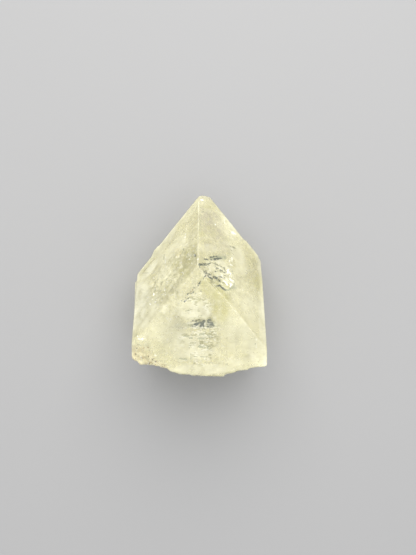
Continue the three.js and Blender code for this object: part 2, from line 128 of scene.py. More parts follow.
# Soft-edged patches of the upper side, seen from above: where their middle is, as shares of the
# crystal's width and length, half their length and half their breadth in millimetres, their turn from
# across in degrees, and their strength.
PATCHES = {
    # fine crackle: the bowl of the bruise and the line of small breaks that leads away from it
    "crackle": [
        (0.640, 0.545, 3.4, 2.7, -20, 0.9),
        (0.560, 0.530, 2.6, 0.55, -54, 0.7),
        (0.757, 0.690, 0.9, 0.5, -50, 0.9),
        (0.461, 0.462, 3.4, 0.34, 48, 0.8),
    ],
    # crushed crystal: the bruise's outer rim, the tip and flakes near the stained corner; the last two
    # rows are painted glints on the right pyramid face
    "crush": [
        (0.735, 0.605, 1.6, 0.34, 92, 0.82),
        (0.722, 0.545, 1.5, 0.50, 96, 0.83),
        (0.745, 0.495, 1.1, 0.75, 100, 0.81),
        (0.700, 0.492, 0.8, 0.32, -50, 0.84),
        (0.525, 0.972, 0.8, 0.36, 4, 0.86),
        (0.088, 0.203, 1.3, 0.8, 20, 0.80),
        (0.765, 0.782, 0.9, 0.36, -20, 0.82),
        (0.688, 0.845, 0.8, 0.25, 80, 0.78),
    ],
    # darker olive zones where the crystal is clearest
    "deep": [
        (0.580, 0.470, 2.6, 1.8, -52, 0.9),
        (0.650, 0.400, 2.2, 4.6, 6, 1.0),
        (0.720, 0.480, 1.8, 0.9, -40, 0.6),
        (0.435, 0.640, 1.5, 2.4, -25, 0.75),
        (0.395, 0.560, 1.2, 1.5, -10, 0.75),
        (0.335, 0.600, 2.2, 0.7, 50, 0.5),
        (0.950, 0.500, 0.8, 1.7, 0, 0.6),
        (0.520, 0.765, 0.9, 0.7, 0, 0.45),
        (0.560, 0.275, 2.8, 1.8, 0, 0.25),
        (0.360, 0.640, 1.6, 1.2, 40, 0.3),
        (0.585, 0.930, 1.9, 0.5, -8, 0.4),
        (0.600, 0.790, 1.5, 1.7, 0, 0.25),
    ],
    # cloudier zones: the outer strip of the left pyramid face and the broken end; along the outline they
    # are partly painted light
    "milky_and_lit": [
        (0.115, 0.565, 3.4, 0.8, 52, 0.8),
        (0.520, 0.040, 7.0, 1.1, 0, 0.4),
        (0.930, 0.130, 2.0, 3.2, 0, 0.3),
        (0.830, 0.570, 1.8, 1.6, 0, 0.3),
        (0.500, 0.130, 3.4, 1.6, 0, 0.5),
        (0.480, 0.350, 3.4, 2.2, 0, 0.55),
        (0.530, 0.225, 1.6, 0.7, 0, 0.4),
        (0.780, 0.080, 2.6, 1.0, 0, 0.2),
        (0.655, 0.578, 2.0, 1.9, -20, 0.4),
        (0.600, 0.590, 1.6, 0.7, -40, 0.5),
        (0.550, 0.545, 1.0, 0.8, 0, 0.5),
        (0.240, 0.640, 2.2, 1.5, 50, 0.35),
        (0.230, 0.720, 4.0, 1.0, 52, 0.4),
        (0.370, 0.500, 5.0, 0.9, 51, 0.15),
        # painted light: a paler strip along the left outline
        (0.060, 0.390, 5.2, 2.2, 84, 0.75),
        (0.130, 0.350, 3.2, 1.5, 60, 0.4),
        (0.175, 0.325, 4.4, 0.6, 54, 0.25),
        (0.880, 0.280, 2.4, 5.4, 0, 0.2),
        (0.965, 0.250, 6.5, 0.8, 90, 0.55),
        (0.800, 0.650, 3.2, 1.3, -56, 0.35),
        (0.570, 0.685, 2.4, 1.0, 0, 0.3),
        (0.320, 0.700, 3.0, 1.2, 52, 0.3),
        (0.240, 0.560, 2.0, 1.6, 50, 0.3),
        (0.090, 0.290, 1.8, 1.6, 40, 0.5),
        (0.400, 0.160, 3.0, 3.0, 0, 0.3),
    ],
    # a grey haze of cracks that lie deeper, and a painted shadow under the bruise's crushed rim
    "haze": [
        (0.530, 0.274, 3.4, 0.8, 0, 1.0),
        (0.400, 0.270, 2.4, 0.6, 4, 0.5),
        (0.650, 0.636, 1.7, 0.55, 8, 0.6),
        (0.640, 0.500, 1.6, 1.2, -30, 0.35),
        # painted shadow under the lower end of the bruise's crushed rim
        (0.757, 0.468, 0.9, 0.55, 30, 0.75),
        (0.438, 0.638, 1.0, 0.8, 0, 0.6),
    ],
    # painted shade on the head of the right pyramid face
    "shaded_right_head": [
        (0.600, 0.830, 4.2, 2.4, -62, 1.0),
        (0.640, 0.700, 3.0, 1.6, 0, 0.5),
    ],
    # the smooth, even side of the upper face
    "calm": [
        (0.820, 0.250, 4.4, 6.5, 10, 1.0),
        (0.160, 0.250, 3.0, 4.0, -20, 0.7),
    ],
    # the pitted, sugary side of the left pyramid face
    "sugar": [
        (0.320, 0.560, 7.5, 3.2, 50, 1.0),
        (0.270, 0.420, 3.6, 4.2, 0, 0.75),
    ],
    # brown iron stain in the crushed corner
    "stain": [
        (0.055, 0.085, 3.6, 3.0, -25, 1.0),
        (0.200, 0.062, 2.6, 0.9, -20, 0.6),
        (0.342, 0.665, 0.9, 0.9, 0, 0.3),
    ],
    # stacked cleavage traces across the middle of the upper face
    "traces": [
        (0.515, 0.190, 3.9, 5.2, 0, 1.0),
        (0.490, 0.370, 3.2, 2.4, 0, 0.7),
    ],
    # the edge between the upper face and the left pyramid face, worn quite round
    "rounded": [
        (0.211, 0.331, 8.4, 2.0, 51, 1.0),
    ],
}

# Single strokes on the upper side, seen from above: both ends, as shares of the crystal's width and
# length, and half their breadth in millimetres.
STROKES = {
    # cleavage cracks that let no light back
    "dark": [
        # the bruise, from its upper end down
        ((0.544, 0.623), (0.594, 0.621), 0.15),
        ((0.616, 0.624), (0.646, 0.627), 0.24),
        ((0.646, 0.627), (0.664, 0.630), 0.18),
        ((0.582, 0.633), (0.640, 0.640), 0.13),
        ((0.502, 0.592), (0.554, 0.594), 0.22),
        ((0.554, 0.594), (0.587, 0.601), 0.13),
        ((0.507, 0.580), (0.572, 0.532), 0.08),
        ((0.543, 0.553), (0.570, 0.537), 0.14),
        ((0.635, 0.575), (0.643, 0.574), 0.14),
        ((0.660, 0.563), (0.696, 0.550), 0.13),
        ((0.620, 0.557), (0.640, 0.558), 0.09),
        ((0.550, 0.552), (0.587, 0.537), 0.13),
        ((0.568, 0.533), (0.603, 0.512), 0.10),
        ((0.612, 0.526), (0.632, 0.520), 0.22),
        ((0.650, 0.528), (0.697, 0.520), 0.14),
        ((0.654, 0.508), (0.659, 0.497), 0.10),
        ((0.630, 0.479), (0.648, 0.479), 0.15),
        ((0.655, 0.482), (0.692, 0.457), 0.17),
        # beside the long edge above it
        ((0.470, 0.650), (0.476, 0.636), 0.14),
        # the stack on the upper face
        ((0.458, 0.295), (0.486, 0.293), 0.16),
        ((0.486, 0.293), (0.497, 0.281), 0.18),
        ((0.494, 0.279), (0.463, 0.268), 0.25),
        ((0.507, 0.294), (0.535, 0.267), 0.24),
        ((0.541, 0.294), (0.515, 0.265), 0.24),
        ((0.572, 0.300), (0.569, 0.266), 0.22),
        ((0.584, 0.296), (0.588, 0.266), 0.27),
        ((0.597, 0.284), (0.606, 0.264), 0.18),
        # the line of small breaks
        ((0.534, 0.517), (0.550, 0.532), 0.13),
        ((0.516, 0.504), (0.495, 0.480), 0.15),
        ((0.515, 0.450), (0.518, 0.451), 0.12),
        ((0.483, 0.441), (0.486, 0.440), 0.13),
        ((0.468, 0.449), (0.443, 0.437), 0.08),
        ((0.425, 0.442), (0.415, 0.431), 0.12),
        ((0.436, 0.420), (0.396, 0.395), 0.10),
        ((0.376, 0.402), (0.382, 0.401), 0.11),
        # soot in the stained corner
        ((0.135, 0.157), (0.141, 0.153), 0.11),
        ((0.189, 0.077), (0.195, 0.075), 0.13),
    ],
    # cracks and traces that show grey, and thin painted shade beside the ridge
    "faint": [
        ((0.600, 0.633), (0.695, 0.633), 0.34),
        ((0.692, 0.457), (0.722, 0.459), 0.20),
        ((0.438, 0.652), (0.446, 0.640), 0.14),
        ((0.424, 0.636), (0.436, 0.628), 0.13),
        ((0.710, 0.484), (0.735, 0.491), 0.08),
        ((0.742, 0.583), (0.757, 0.538), 0.08),
        ((0.744, 0.682), (0.750, 0.674), 0.12),
        ((0.763, 0.703), (0.777, 0.692), 0.12),
        ((0.610, 0.269), (0.637, 0.263), 0.14),
        ((0.580, 0.302), (0.604, 0.276), 0.28),
        ((0.903, 0.205), (0.908, 0.203), 0.11),
        ((0.900, 0.174), (0.908, 0.172), 0.11),
        ((0.380, 0.682), (0.386, 0.676), 0.12),
        ((0.506, 0.225), (0.541, 0.225), 0.19),
        ((0.566, 0.220), (0.586, 0.207), 0.17),
        ((0.393, 0.214), (0.422, 0.213), 0.13),
        ((0.432, 0.208), (0.453, 0.204), 0.17),
        ((0.502, 0.202), (0.547, 0.202), 0.18),
        ((0.493, 0.157), (0.512, 0.163), 0.19),
        ((0.512, 0.155), (0.541, 0.160), 0.18),
        ((0.562, 0.165), (0.566, 0.151), 0.16),
        ((0.362, 0.097), (0.415, 0.091), 0.12),
        ((0.445, 0.123), (0.446, 0.081), 0.09),
        ((0.457, 0.108), (0.558, 0.105), 0.07),
        ((0.407, 0.348), (0.436, 0.349), 0.09),
        ((0.520, 0.322), (0.550, 0.325), 0.10),
        ((0.230, 0.651), (0.230, 0.625), 0.12),
        # the lower end of the bruise, under its crushed rim
        ((0.722, 0.459), (0.757, 0.470), 0.14),
        ((0.757, 0.470), (0.764, 0.492), 0.12),
        # painted shade: thin dark lines beside the ridge
        ((0.482, 0.606), (0.483, 0.690), 0.05),
        ((0.509, 0.740), (0.509, 0.925), 0.05),
        ((0.512, 0.902), (0.600, 0.890), 0.06),
        # the upper rim of the stained corner
        ((0.044, 0.181), (0.088, 0.166), 0.10),
        ((0.088, 0.166), (0.127, 0.150), 0.09),
    ],
    # crushed lines, and small painted glints
    "pale": [
        ((0.752, 0.636), (0.748, 0.613), 0.11),
        ((0.739, 0.596), (0.749, 0.591), 0.14),
        ((0.729, 0.551), (0.737, 0.544), 0.12),
        ((0.730, 0.516), (0.752, 0.502), 0.15),
        ((0.746, 0.489), (0.730, 0.475), 0.13),
        ((0.691, 0.503), (0.711, 0.484), 0.12),
        ((0.630, 0.535), (0.668, 0.531), 0.08),
        ((0.077, 0.210), (0.100, 0.194), 0.12),
        ((0.062, 0.213), (0.073, 0.202), 0.10),
        ((0.188, 0.115), (0.195, 0.112), 0.13),
        ((0.166, 0.440), (0.169, 0.427), 0.14),
        ((0.141, 0.382), (0.143, 0.379), 0.12),
        ((0.700, 0.863), (0.699, 0.838), 0.10),
        ((0.758, 0.789), (0.787, 0.778), 0.15),
        ((0.625, 0.826), (0.627, 0.818), 0.08),
        ((0.552, 0.325), (0.552, 0.245), 0.07),
        ((0.244, 0.640), (0.246, 0.600), 0.09),
        ((0.409, 0.838), (0.385, 0.700), 0.04),
        ((0.918, 0.197), (0.919, 0.195), 0.12),
        ((0.915, 0.172), (0.920, 0.145), 0.08),
    ],
    # the edges that the worn faces meet in, painted as bright lines: painted highlights where the rounded
    # edges catch the light
    "ridge": [
        ((0.494, 0.596), (0.494, 0.960), 0.07),
        ((0.510, 0.578), (0.601, 0.490), 0.03),
        ((0.601, 0.490), (0.905, 0.219), 0.05),
    ],
}


def flat_offset(points, across, along, turn=0.0):
    """Each point's offset from a place on the crystal, seen from above: along a heading and over it."""
    middle = place(across, along, 1)
    x, y = points[:, 0] - middle.x, points[:, 1] - middle.y
    cosine, sine = math.cos(turn), math.sin(turn)
    return x * cosine + y * sine, y * cosine - x * sine


def patch_mask(points, rows):
    """How strongly each point lies in a set of patches, seen from above."""
    mask = np.zeros(len(points))
    for across, along, half_length, half_breadth, turn, strength in rows:
        ahead, aside = flat_offset(points, across, along, math.radians(turn))
        distance = np.hypot(ahead / (half_length * MM), aside / (half_breadth * MM))
        mask = np.maximum(mask, strength * smooth(1.15, 0.55, distance))
    return mask


def stroke_mask(points, rows):
    """1/2 on the rim of the nearest stroke, more inside it and less outside, by STROKE_REACH."""
    inside = np.full(len(points), -STROKE_REACH)
    for start, end, half_breadth in rows:
        run = place(*end, 1) - place(*start, 1)
        ahead, aside = flat_offset(points, *start, math.atan2(run.y, run.x))
        past = np.maximum(np.maximum(-ahead, ahead - run.xy.length), 0)
        inside = np.maximum(inside, half_breadth * MM - np.hypot(past, aside))
    return 0.5 + 0.5 * np.clip(inside / STROKE_REACH, -1, 1)


# ---- helpers for meshes ----------------------------------------------------------------------------


def link(name, data):
    """A new object in the scene."""
    piece = bpy.data.objects.new(name, data)
    bpy.context.scene.collection.objects.link(piece)
    return piece


def settle(piece):
    """Puts a piece's modifiers into its mesh."""
    bpy.context.view_layer.update()
    evaluated = piece.evaluated_get(bpy.context.evaluated_depsgraph_get())
    made = bpy.data.meshes.new_from_object(evaluated)
    piece.modifiers.clear()
    piece.data = made


def read(mesh, what):
    """The mesh's points or normals as rows of three."""
    rows = np.empty(len(mesh.vertices) * 3, np.float32)
    mesh.vertices.foreach_get(what, rows)
    return rows.reshape(-1, 3).astype(float)


def write_points(mesh, points):
    """Moves the mesh's points to new places."""
    mesh.vertices.foreach_set("co", points.astype(np.float32).ravel())
    mesh.update()


def write_mask(mesh, name, values):
    """A number for each point of the mesh that its material can read."""
    attribute = mesh.attributes.new(name, "FLOAT", "POINT")
    attribute.data.foreach_set("value", values.astype(np.float32))


class Neighbours:
    """Averages over the points that share an edge."""

    def __init__(self, mesh):
        ends = np.empty(len(mesh.edges) * 2, np.int32)
        mesh.edges.foreach_get("vertices", ends)
        self.first, self.second = ends.reshape(-1, 2).T
        self.count = len(mesh.vertices)
        self.shared = np.maximum(self.gather(np.ones(self.count)), 1)

    def gather(self, values):
        """The sum of each point's neighbours."""
        total = np.bincount(self.first, values[self.second], self.count)
        return total + np.bincount(self.second, values[self.first], self.count)

    def mean(self, values):
        """The mean of each point's neighbours, for one number or several at each point."""
        if values.ndim == 1:
            return self.gather(values) / self.shared
        return np.column_stack([self.gather(column) / self.shared for column in values.T])

    def relax(self, values, rounds, pull=0.5):
        """Pulls every point towards its neighbours, or pushes it away where the pull is below 0."""
        for _ in range(rounds):
            values = values + pull * (self.mean(values) - values)
        return values

    def fair(self, points, rounds):
        """Smooths and keeps the size: each step in is followed by a step out."""
        for _ in range(rounds):
            points = self.relax(self.relax(points, 1, 0.5), 1, -0.51)
        return points


def fractal(at, octaves=3):
    """A random height from about -1 to 1, with each octave half as strong and twice as fine."""
    return noise.fractal(at, 1.0, 2.0, octaves)


def noise_field(points, per_mm, seed=0, stretch=(1, 1, 1), octaves=1):
    """Smooth random heights from about -1 to 1, with so many swells to the millimetre."""
    shift = Vector((17.3, 5.1, 9.7)) * (seed + 1)
    samples = points * (np.array(stretch) * per_mm / MM)
    if octaves == 1:
        return np.array([noise.noise(Vector(sample) + shift) for sample in samples])
    return np.array([fractal(Vector(sample) + shift, octaves) for sample in samples])


def pit_field(points, per_mm, seed=0, stretch=(1, 1, 1), metric="DISTANCE"):
    """Distance to the nearest of many scattered seeds, in cells. CHEBYCHEV makes square cells."""
    shift = Vector((3.9, 11.2, 7.7)) * (seed + 1)
    samples = points * (np.array(stretch) * per_mm / MM)
    return np.array([noise.voronoi(Vector(s) + shift, distance_metric=metric)[0][0] for s in samples])


def finish_piece(piece, material):
    """Gives a piece to the crystal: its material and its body."""
    piece.data.materials.clear()
    piece.data.materials.append(material)
    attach(piece, BODY)


# ---- helpers for materials -------------------------------------------------------------------------

# The sockets that the Mix node uses for colours.
MIX_SHARE, MIX_BELOW, MIX_ABOVE, MIX_OUT = 0, 6, 7, 2


def colour(values):
    """A colour property as a node's colour."""
    return (*values, 1.0)


class Nodes:
    """Adds nodes to a material and links them, in one call each, and keeps the coats of colour so far."""

    def __init__(self, name, shade=None):
        self.material = bpy.data.materials.new(name)
        self.material.use_nodes = True
        self.tree = self.material.node_tree
        self.tree.nodes.clear()
        self.where = self.add("ShaderNodeTexCoord").outputs["Object"]
        self.shade = shade

    def feed(self, socket, value):
        """Links another node's output to a socket, or sets the socket's own value."""
        if isinstance(value, bpy.types.NodeSocket):
            self.tree.links.new(value, socket)
        else:
            socket.default_value = value

    def add(self, kind, inputs=None, **settings):
        """A new node with its settings and what its sockets are fed."""
        node = self.tree.nodes.new(kind)
        for name, value in settings.items():
            setattr(node, name, value)
        for name, value in (inputs or {}).items():
            self.feed(node.inputs[name], value)
        return node

    def math(self, operation, *values, clamp=False):
        node = self.add("ShaderNodeMath", operation=operation, use_clamp=clamp)
        for socket, value in zip(node.inputs, values):
            self.feed(socket, value)
        return node.outputs[0]

    def product(self, first, *others):
        for other in others:
            first = self.math("MULTIPLY", first, other)
        return first

    def highest(self, first, *others):
        """The highest of several values."""
        for other in others:
            first = self.math("MAXIMUM", first, other)
        return first

    def mask(self, name):
        """Where a finish belongs, as the mesh's points note it."""
        return self.add("ShaderNodeAttribute", attribute_name=name).outputs["Fac"]

    def strokes(self, name, ragged):
        """1 inside a set of strokes and 0 outside, with a rim as ragged as the given noise."""
        return self.ramp(self.math("ADD", self.mask(name), ragged), 0.48, 0.54)

    def ramp(self, value, low, high, start=0.0, end=1.0):
        """Start below low and end above high, with a smooth way between them."""
        ends = {"Value": value, "From Min": low, "From Max": high, "To Min": start, "To Max": end}
        return self.add("ShaderNodeMapRange", ends, interpolation_type="SMOOTHSTEP").outputs[0]

    def band(self, value, low, high, soft=0.03):
        """1 between low and high and 0 outside, with soft ends."""
        return self.product(self.ramp(value, low, low + soft), self.ramp(value, high, high - soft))

    def spread(self, value, start, end):
        """The range 0 to 1 as the range start to end."""
        return self.math("ADD", self.math("MULTIPLY", value, end - start), start)

    def mapped(self, per_mm, stretch, turn, shift):
        """Places turned about Z and measured in waves, away from the other patterns by the shift."""
        wave = [MM / (per_mm * side) for side in stretch]
        away = [shift * 0.01] * 3
        ends = {"Vector": self.where, "Scale": wave, "Rotation": (0, 0, turn), "Location": away}
        return self.add("ShaderNodeMapping", ends, vector_type="TEXTURE").outputs[0]

    def noise(self, per_mm, stretch=(1, 1, 1), detail=2.0, turn=0.0, shift=0.0, rough=0.5):
        """Cloudy noise from 0 to 1 with so many swells to the millimetre."""
        where = self.mapped(per_mm, stretch, turn, shift)
        ends = {"Vector": where, "Scale": 1.0, "Detail": detail, "Roughness": rough}
        return self.add("ShaderNodeTexNoise", ends).outputs[0]

    def cells(self, per_mm, stretch=(1, 1, 1), shift=0.0):
        """The distance to the nearest of many scattered seeds."""
        where = self.mapped(per_mm, stretch, 0.0, shift)
        return self.add("ShaderNodeTexVoronoi", {"Vector": where, "Scale": 1.0}).outputs["Distance"]

    def blend(self, share, below, above):
        """One colour over another, as strongly as the share."""
        node = self.add("ShaderNodeMix", data_type="RGBA")
        self.feed(node.inputs[MIX_SHARE], share)
        self.feed(node.inputs[MIX_BELOW], below)
        self.feed(node.inputs[MIX_ABOVE], above)
        return node.outputs[MIX_OUT]

    def coat(self, tone, *shares):
        """Lays a colour over the coats so far, as strongly as the product of the shares."""
        self.shade = self.blend(self.product(*shares), self.shade, tone)

    def bump(self, height, depth, strength, normal=None):
        """A surface direction that shows heights as relief, over the relief so far."""
        ends = {"Height": height, "Distance": depth, "Strength": strength}
        if normal is not None:
            ends["Normal"] = normal
        return self.add("ShaderNodeBump", ends).outputs[0]

    def surface(self, inputs):
        """The finished material."""
        shader = self.add("ShaderNodeBsdfPrincipled", inputs)
        self.out = self.add("ShaderNodeOutputMaterial", {"Surface": shader.outputs[0]})
        return self.material

    def absorb(self, tint, density):
        """Colours the light by the way that it goes through the piece."""
        volume = self.add("ShaderNodeVolumeAbsorption", {"Color": tint, "Density": density})
        self.tree.links.new(volume.outputs[0], self.out.inputs["Volume"])


# ---- what a user may change ------------------------------------------------------------------------


def length_property(name, description, default):
    """A length in metres, with enough digits for hundredths of a millimetre."""
    return FloatProperty(name=name, description=description, default=default, unit="LENGTH", precision=6)


def colour_property(name, description, default):
    return FloatVectorProperty(
        name=name, description=description, default=default, size=3, min=0, max=1, subtype="COLOR"
    )


def share_property(name, description, default):
    return FloatProperty(
        name=name, description=description, default=default, min=0, max=1, subtype="FACTOR"
    )


def power_property(name, description, default):
    return FloatProperty(name=name, description=description, default=default, subtype="POWER")


def count_property(name, description, default, least=0):
    return IntProperty(name=name, description=description, default=default, min=least)


class CrystalSettings(bpy.types.PropertyGroup):
    """The crystal's surface and its finish."""

    cell: length_property("Cell", "Side of the surface's facets", 0.19 * MM)
    wear: count_property("Wear", "Rounds of smoothing on the edges", 4)
    rounding: count_property("Rounding", "Rounds of smoothing on the roundest edge", 40)
    striation: length_property("Striation", "Depth of the fine ribs along the prism faces", 0.007 * MM)
    terrace: length_property("Terrace", "Height of the finest growth steps", 0.03 * MM)
    pits: length_property("Pits", "Depth of the sugary pits on the left pyramid face", 0.13 * MM)
    lamella: length_property("Lamella", "Height of the cleavage steps on the broken base", 0.22 * MM)
    nibble: length_property("Nibble", "How far the worn edges are chipped back", 0.16 * MM)
    crack_depth: length_property("Crack depth", "Depth of the open cracks round the bruise", 0.14 * MM)
    cream: colour_property("Cream", "Colour of the crystal", (0.84, 0.80, 0.485))
    # milk is also the colour of the painted light on the sides and along the outline
    milk: colour_property("Milk", "Colour of crushed and worn places", (0.96, 0.94, 0.73))
    olive: colour_property("Olive", "Colour of the clear deep zones", (0.56, 0.53, 0.22))
    crack: colour_property("Crack", "Colour of the cleavage cracks", (0.12, 0.13, 0.10))
    rust: colour_property("Rust", "Colour of the iron stain", (0.50, 0.38, 0.19))
    soot: colour_property("Soot", "Colour of the darkest grains in the stain", (0.06, 0.05, 0.05))
    clearness: share_property("Clearness", "Share of light that goes through the surface", 0.42)
    index: FloatProperty(name="Index", description="Refractive index", default=1.535, min=1, max=2)
    tint: colour_property("Tint", "Colour that the crystal lets through", (0.95, 0.90, 0.62))
    tint_density: FloatProperty(
        name="Tint density", description="Absorption to the metre", default=28, min=0
    )


class InsideSettings(bpy.types.PropertyGroup):
    """Cracks, veils and grains in and on the crystal."""

    crack_rings: count_property("Crack rings", "Rings of facets in one crack", 9, 2)
    crack_sides: count_property("Crack sides", "Facets round one crack", 44, 8)
    crack_middle: share_property("Crack middle", "Where a film's middle lies in its crack's depth", 0.95)
    crack_reach: share_property("Crack reach", "Half a film's height against its crack's depth", 0.35)
    crack_wave: length_property("Crack wave", "How far an open crack's film strays from flat", 0.2 * MM)
    inner_wave: length_property("Inner wave", "How far a wider film strays from flat", 0.45 * MM)
    crack_gape: length_property("Crack gape", "How far a crack stands open", 0.05 * MM)
    crack_cover: length_property("Crack cover", "Least depth of a crack below the surface", 0.2 * MM)
    veil_cover: length_property("Veil cover", "Least depth of a veil below the surface", 1.6 * MM)
    bubbles: count_property("Bubbles", "Tiny hollows in each cloudy veil", 170)
    matrix_grains: count_property("Matrix grains", "Grains for each stained patch", 46)
    sugar_grains: count_property("Sugar grains", "Tiny crystals on the pitted face", 420)


class StageSettings(bpy.types.PropertyGroup):
    """The floor, the light and the camera."""

    floor: colour_property("Floor", "Colour of the floor", (0.36, 0.36, 0.365))
    floor_reach: length_property("Floor reach", "Half the floor's width", 3.0)
    key_power: power_property("Key power", "Power of the soft key light", 9.0)
    fill_power: power_property("Fill power", "Power of the overhead light", 2.2)
    world: FloatProperty(
        name="World", description="Strength of the light from all round", default=4.5, min=0
    )
    exposure: FloatProperty(
        name="Exposure", description="Brightness of the picture in stops", default=-2.54
    )
    lens: FloatProperty(
        name="Lens", description="Focal length in millimetres", default=42.8, subtype="DISTANCE_CAMERA"
    )


# ---- the crystal's surface -------------------------------------------------------------------------


def fine_copy(settings):
    """The solid's shape as one even mesh, fine enough for its own small relief."""
    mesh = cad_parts[NODE].data.copy()
    welded = bmesh.new()
    welded.from_mesh(mesh)
    bmesh.ops.remove_doubles(welded, verts=welded.verts, dist=0.001 * MM)
    welded.to_mesh(mesh)
    welded.free()
    piece = link(PIECE, mesh)
    remesh = piece.modifiers.new("even cells", "REMESH")
    remesh.mode = "VOXEL"
    remesh.voxel_size = settings.cell
    settle(piece)
    return piece


def face_masks(points, normals):
    """How far each point belongs to the prism's sides, to each pyramid face and to the broken base."""
    prism = smooth(0.93, 0.99, np.maximum(np.abs(normals[:, 0]), np.abs(normals[:, 2])))
    pyramid = {
        (side, up): smooth(0.93, 0.985, normals @ np.array(pyramid_facing(side, up)))
        for side in (-1, 1)
        for up in (-1, 1)
    }
    base = smooth(-0.25, -0.6, normals[:, 1]) * smooth(0.32, 0.2, share_along(points))
    return prism, pyramid, base


def stepped(heights, steps):
    """Heights gathered into flat steps with short risers between them."""
    scaled = heights * steps
    floor = np.floor(scaled)
    return (floor + smooth(0.75, 1.0, scaled - floor)) / steps


def ridge_lines(heights, width):
    """1 along the lines where smooth random heights cross zero, 0 away from them."""
    return smooth(width, 0, np.abs(heights))


def growth(points, prism, pyramid, settings):
    """The fine ribs along the prism and the flat growth steps."""
    ribs = noise_field(points, 1.1, seed=1, stretch=(1, 0.05, 1))
    fine_ribs = noise_field(points, 2.3, seed=2, stretch=(1, 0.08, 1))
    height = settings.striation * (ribs + 0.6 * fine_ribs) * prism
    swell = noise_field(points, 0.16, seed=3, stretch=(1, 1.6, 1), octaves=3)
    on_pyramid = sum(pyramid.values())
    return height + settings.terrace * (stepped(swell, 5) * on_pyramid * 2 + stepped(swell, 3) * prism)


def pitting(points, upward, pyramid):
    """The sugary pits, full on the upper left pyramid face and weaker on the lower ones."""
    sugar = np.maximum(patch_mask(points, PATCHES["sugar"]) * upward, 0.5 * pyramid[-1, -1])
    sugar = np.maximum(sugar, 0.35 * pyramid[1, -1])
    pit = smooth(0.45, 0.1, pit_field(points, 0.75, seed=4))
    grit = noise_field(points, 1.7, seed=5, octaves=2)
    lots = smooth(-0.1, 0.35, noise_field(points, 0.4, seed=6))
    return sugar * (pit * lots - 0.25 * grit)


def breaks(points, upward):
    """The open cracks, the fine crackle and the crushed and stained places, in crack depths."""
    ragged = 0.16 * noise_field(points, 1.9, seed=7, octaves=2)
    cracks = stroke_mask(points, STROKES["dark"]) + ragged
    traces = stroke_mask(points, STROKES["faint"]) + ragged
    height = -smooth(0.44, 0.62, cracks) - 0.4 * smooth(0.44, 0.62, traces)
    veins = ridge_lines(noise_field(points, 0.75, seed=10, stretch=(0.6, 1.3, 0.6), octaves=2), 0.16)
    height -= patch_mask(points, PATCHES["crackle"]) * veins
    rubble = noise_field(points, 1.9, seed=8, octaves=2)
    height += 0.5 * patch_mask(points, PATCHES["crush"]) * rubble
    crumbs = noise_field(points, 1.3, seed=9, octaves=3)
    height += 1.3 * patch_mask(points, PATCHES["stain"]) * (crumbs - 0.35)
    return height * upward


def relief(points, normals, settings):
    """How far each point stands out of the solid's surface, and how far it belongs to the base."""
    prism, pyramid, base = face_masks(points, normals)
    upward = facing_up(normals)
    height = growth(points, prism, pyramid, settings)
    height -= settings.pits * pitting(points, upward, pyramid)
    height += settings.crack_depth * breaks(points, upward)
    return height, base


def lamellae(points, base, settings):
    """The fine flat steps of the broken base: each point of it moves along the long axis to its layer."""
    ragged = 0.12 * noise_field(points, 1.1, seed=11, stretch=(1, 0.3, 1), octaves=2)[:, None] * MM
    square = pit_field(points + ragged, 0.2, seed=12, stretch=(1, 0.05, 0.8), metric="CHEBYCHEV")
    fine = pit_field(points + ragged, 0.55, seed=13, stretch=(0.8, 0.05, 1), metric="CHEBYCHEV")
    moved = settings.lamella * (2.2 * stepped(square, 9) - 0.8 + 0.5 * stepped(fine, 4))
    rim = smooth(HIGH.z - 2.0 * MM, HIGH.z - 0.4 * MM, points[:, 2])
    points[:, 1] += np.maximum(moved, -settings.lamella) * base * (1 - 0.85 * rim)


def round_off(points, normals, neighbours, settings):
    """Wears one long edge to a wide round, and the tip a little."""
    tip = smooth(TIP_CAP, 1.0, share_along(points))
    round_edge = patch_mask(points, PATCHES["rounded"]) * facing_up(normals)
    share = np.maximum(round_edge, 0.3 * tip)[:, None]
    points = neighbours.relax(points, settings.rounding, 0.5 * share)
    shortfall = HIGH.y - points[:, 1].max()
    points[:, 1] += shortfall * tip
    return points


def edge_sharpness(points, normals, neighbours):
    """How far each point stands out from its wider neighbourhood: high on edges, below 0 in hollows."""
    pulled = neighbours.relax(points, 5)
    away = np.einsum("ij,ij->i", points - pulled, normals)
    return neighbours.relax(away, 1)


def shape_crystal(piece, settings):
    """Wears the edges, adds the small relief and notes where each finish belongs."""
    mesh = piece.data
    neighbours = Neighbours(mesh)
    points = neighbours.fair(read(mesh, "co"), settings.wear)
    write_points(mesh, points)
    points = round_off(points, read(mesh, "normal"), neighbours, settings)
    write_points(mesh, points)
    normals = read(mesh, "normal")

    edge = smooth(0.12, 0.6, edge_sharpness(points, normals, neighbours) / settings.cell)
    nibbles = smooth(0.05, 0.55, noise_field(points, 0.55, seed=20, octaves=3))
    height, base = relief(points, normals, settings)
    worn = settings.nibble * edge * (nibbles - 0.45)
    points = points + neighbours.relax(normals, 2) * (height - worn)[:, None]
    lamellae(points, base, settings)
    points = neighbours.relax(points, 1, 0.35)
    points = np.clip(points, np.array(LOW), np.array(HIGH))
    write_points(mesh, points)
    mesh.polygons.foreach_set("use_smooth", np.ones(len(mesh.polygons), bool))
    note_finishes(mesh, points, base, neighbours, settings)


def outline_distance(points):
    """How far each point lies inside the outline that shows from above, measured across the crystal."""
    rows = ((points[:, 1] - LOW.y) / OUTLINE_ROW).astype(int)
    right, left = np.full(rows.max() + 1, -np.inf), np.full(rows.max() + 1, np.inf)
    np.maximum.at(right, rows, points[:, 0])
    np.minimum.at(left, rows, points[:, 0])
    return np.minimum(right[rows] - points[:, 0], points[:, 0] - left[rows])


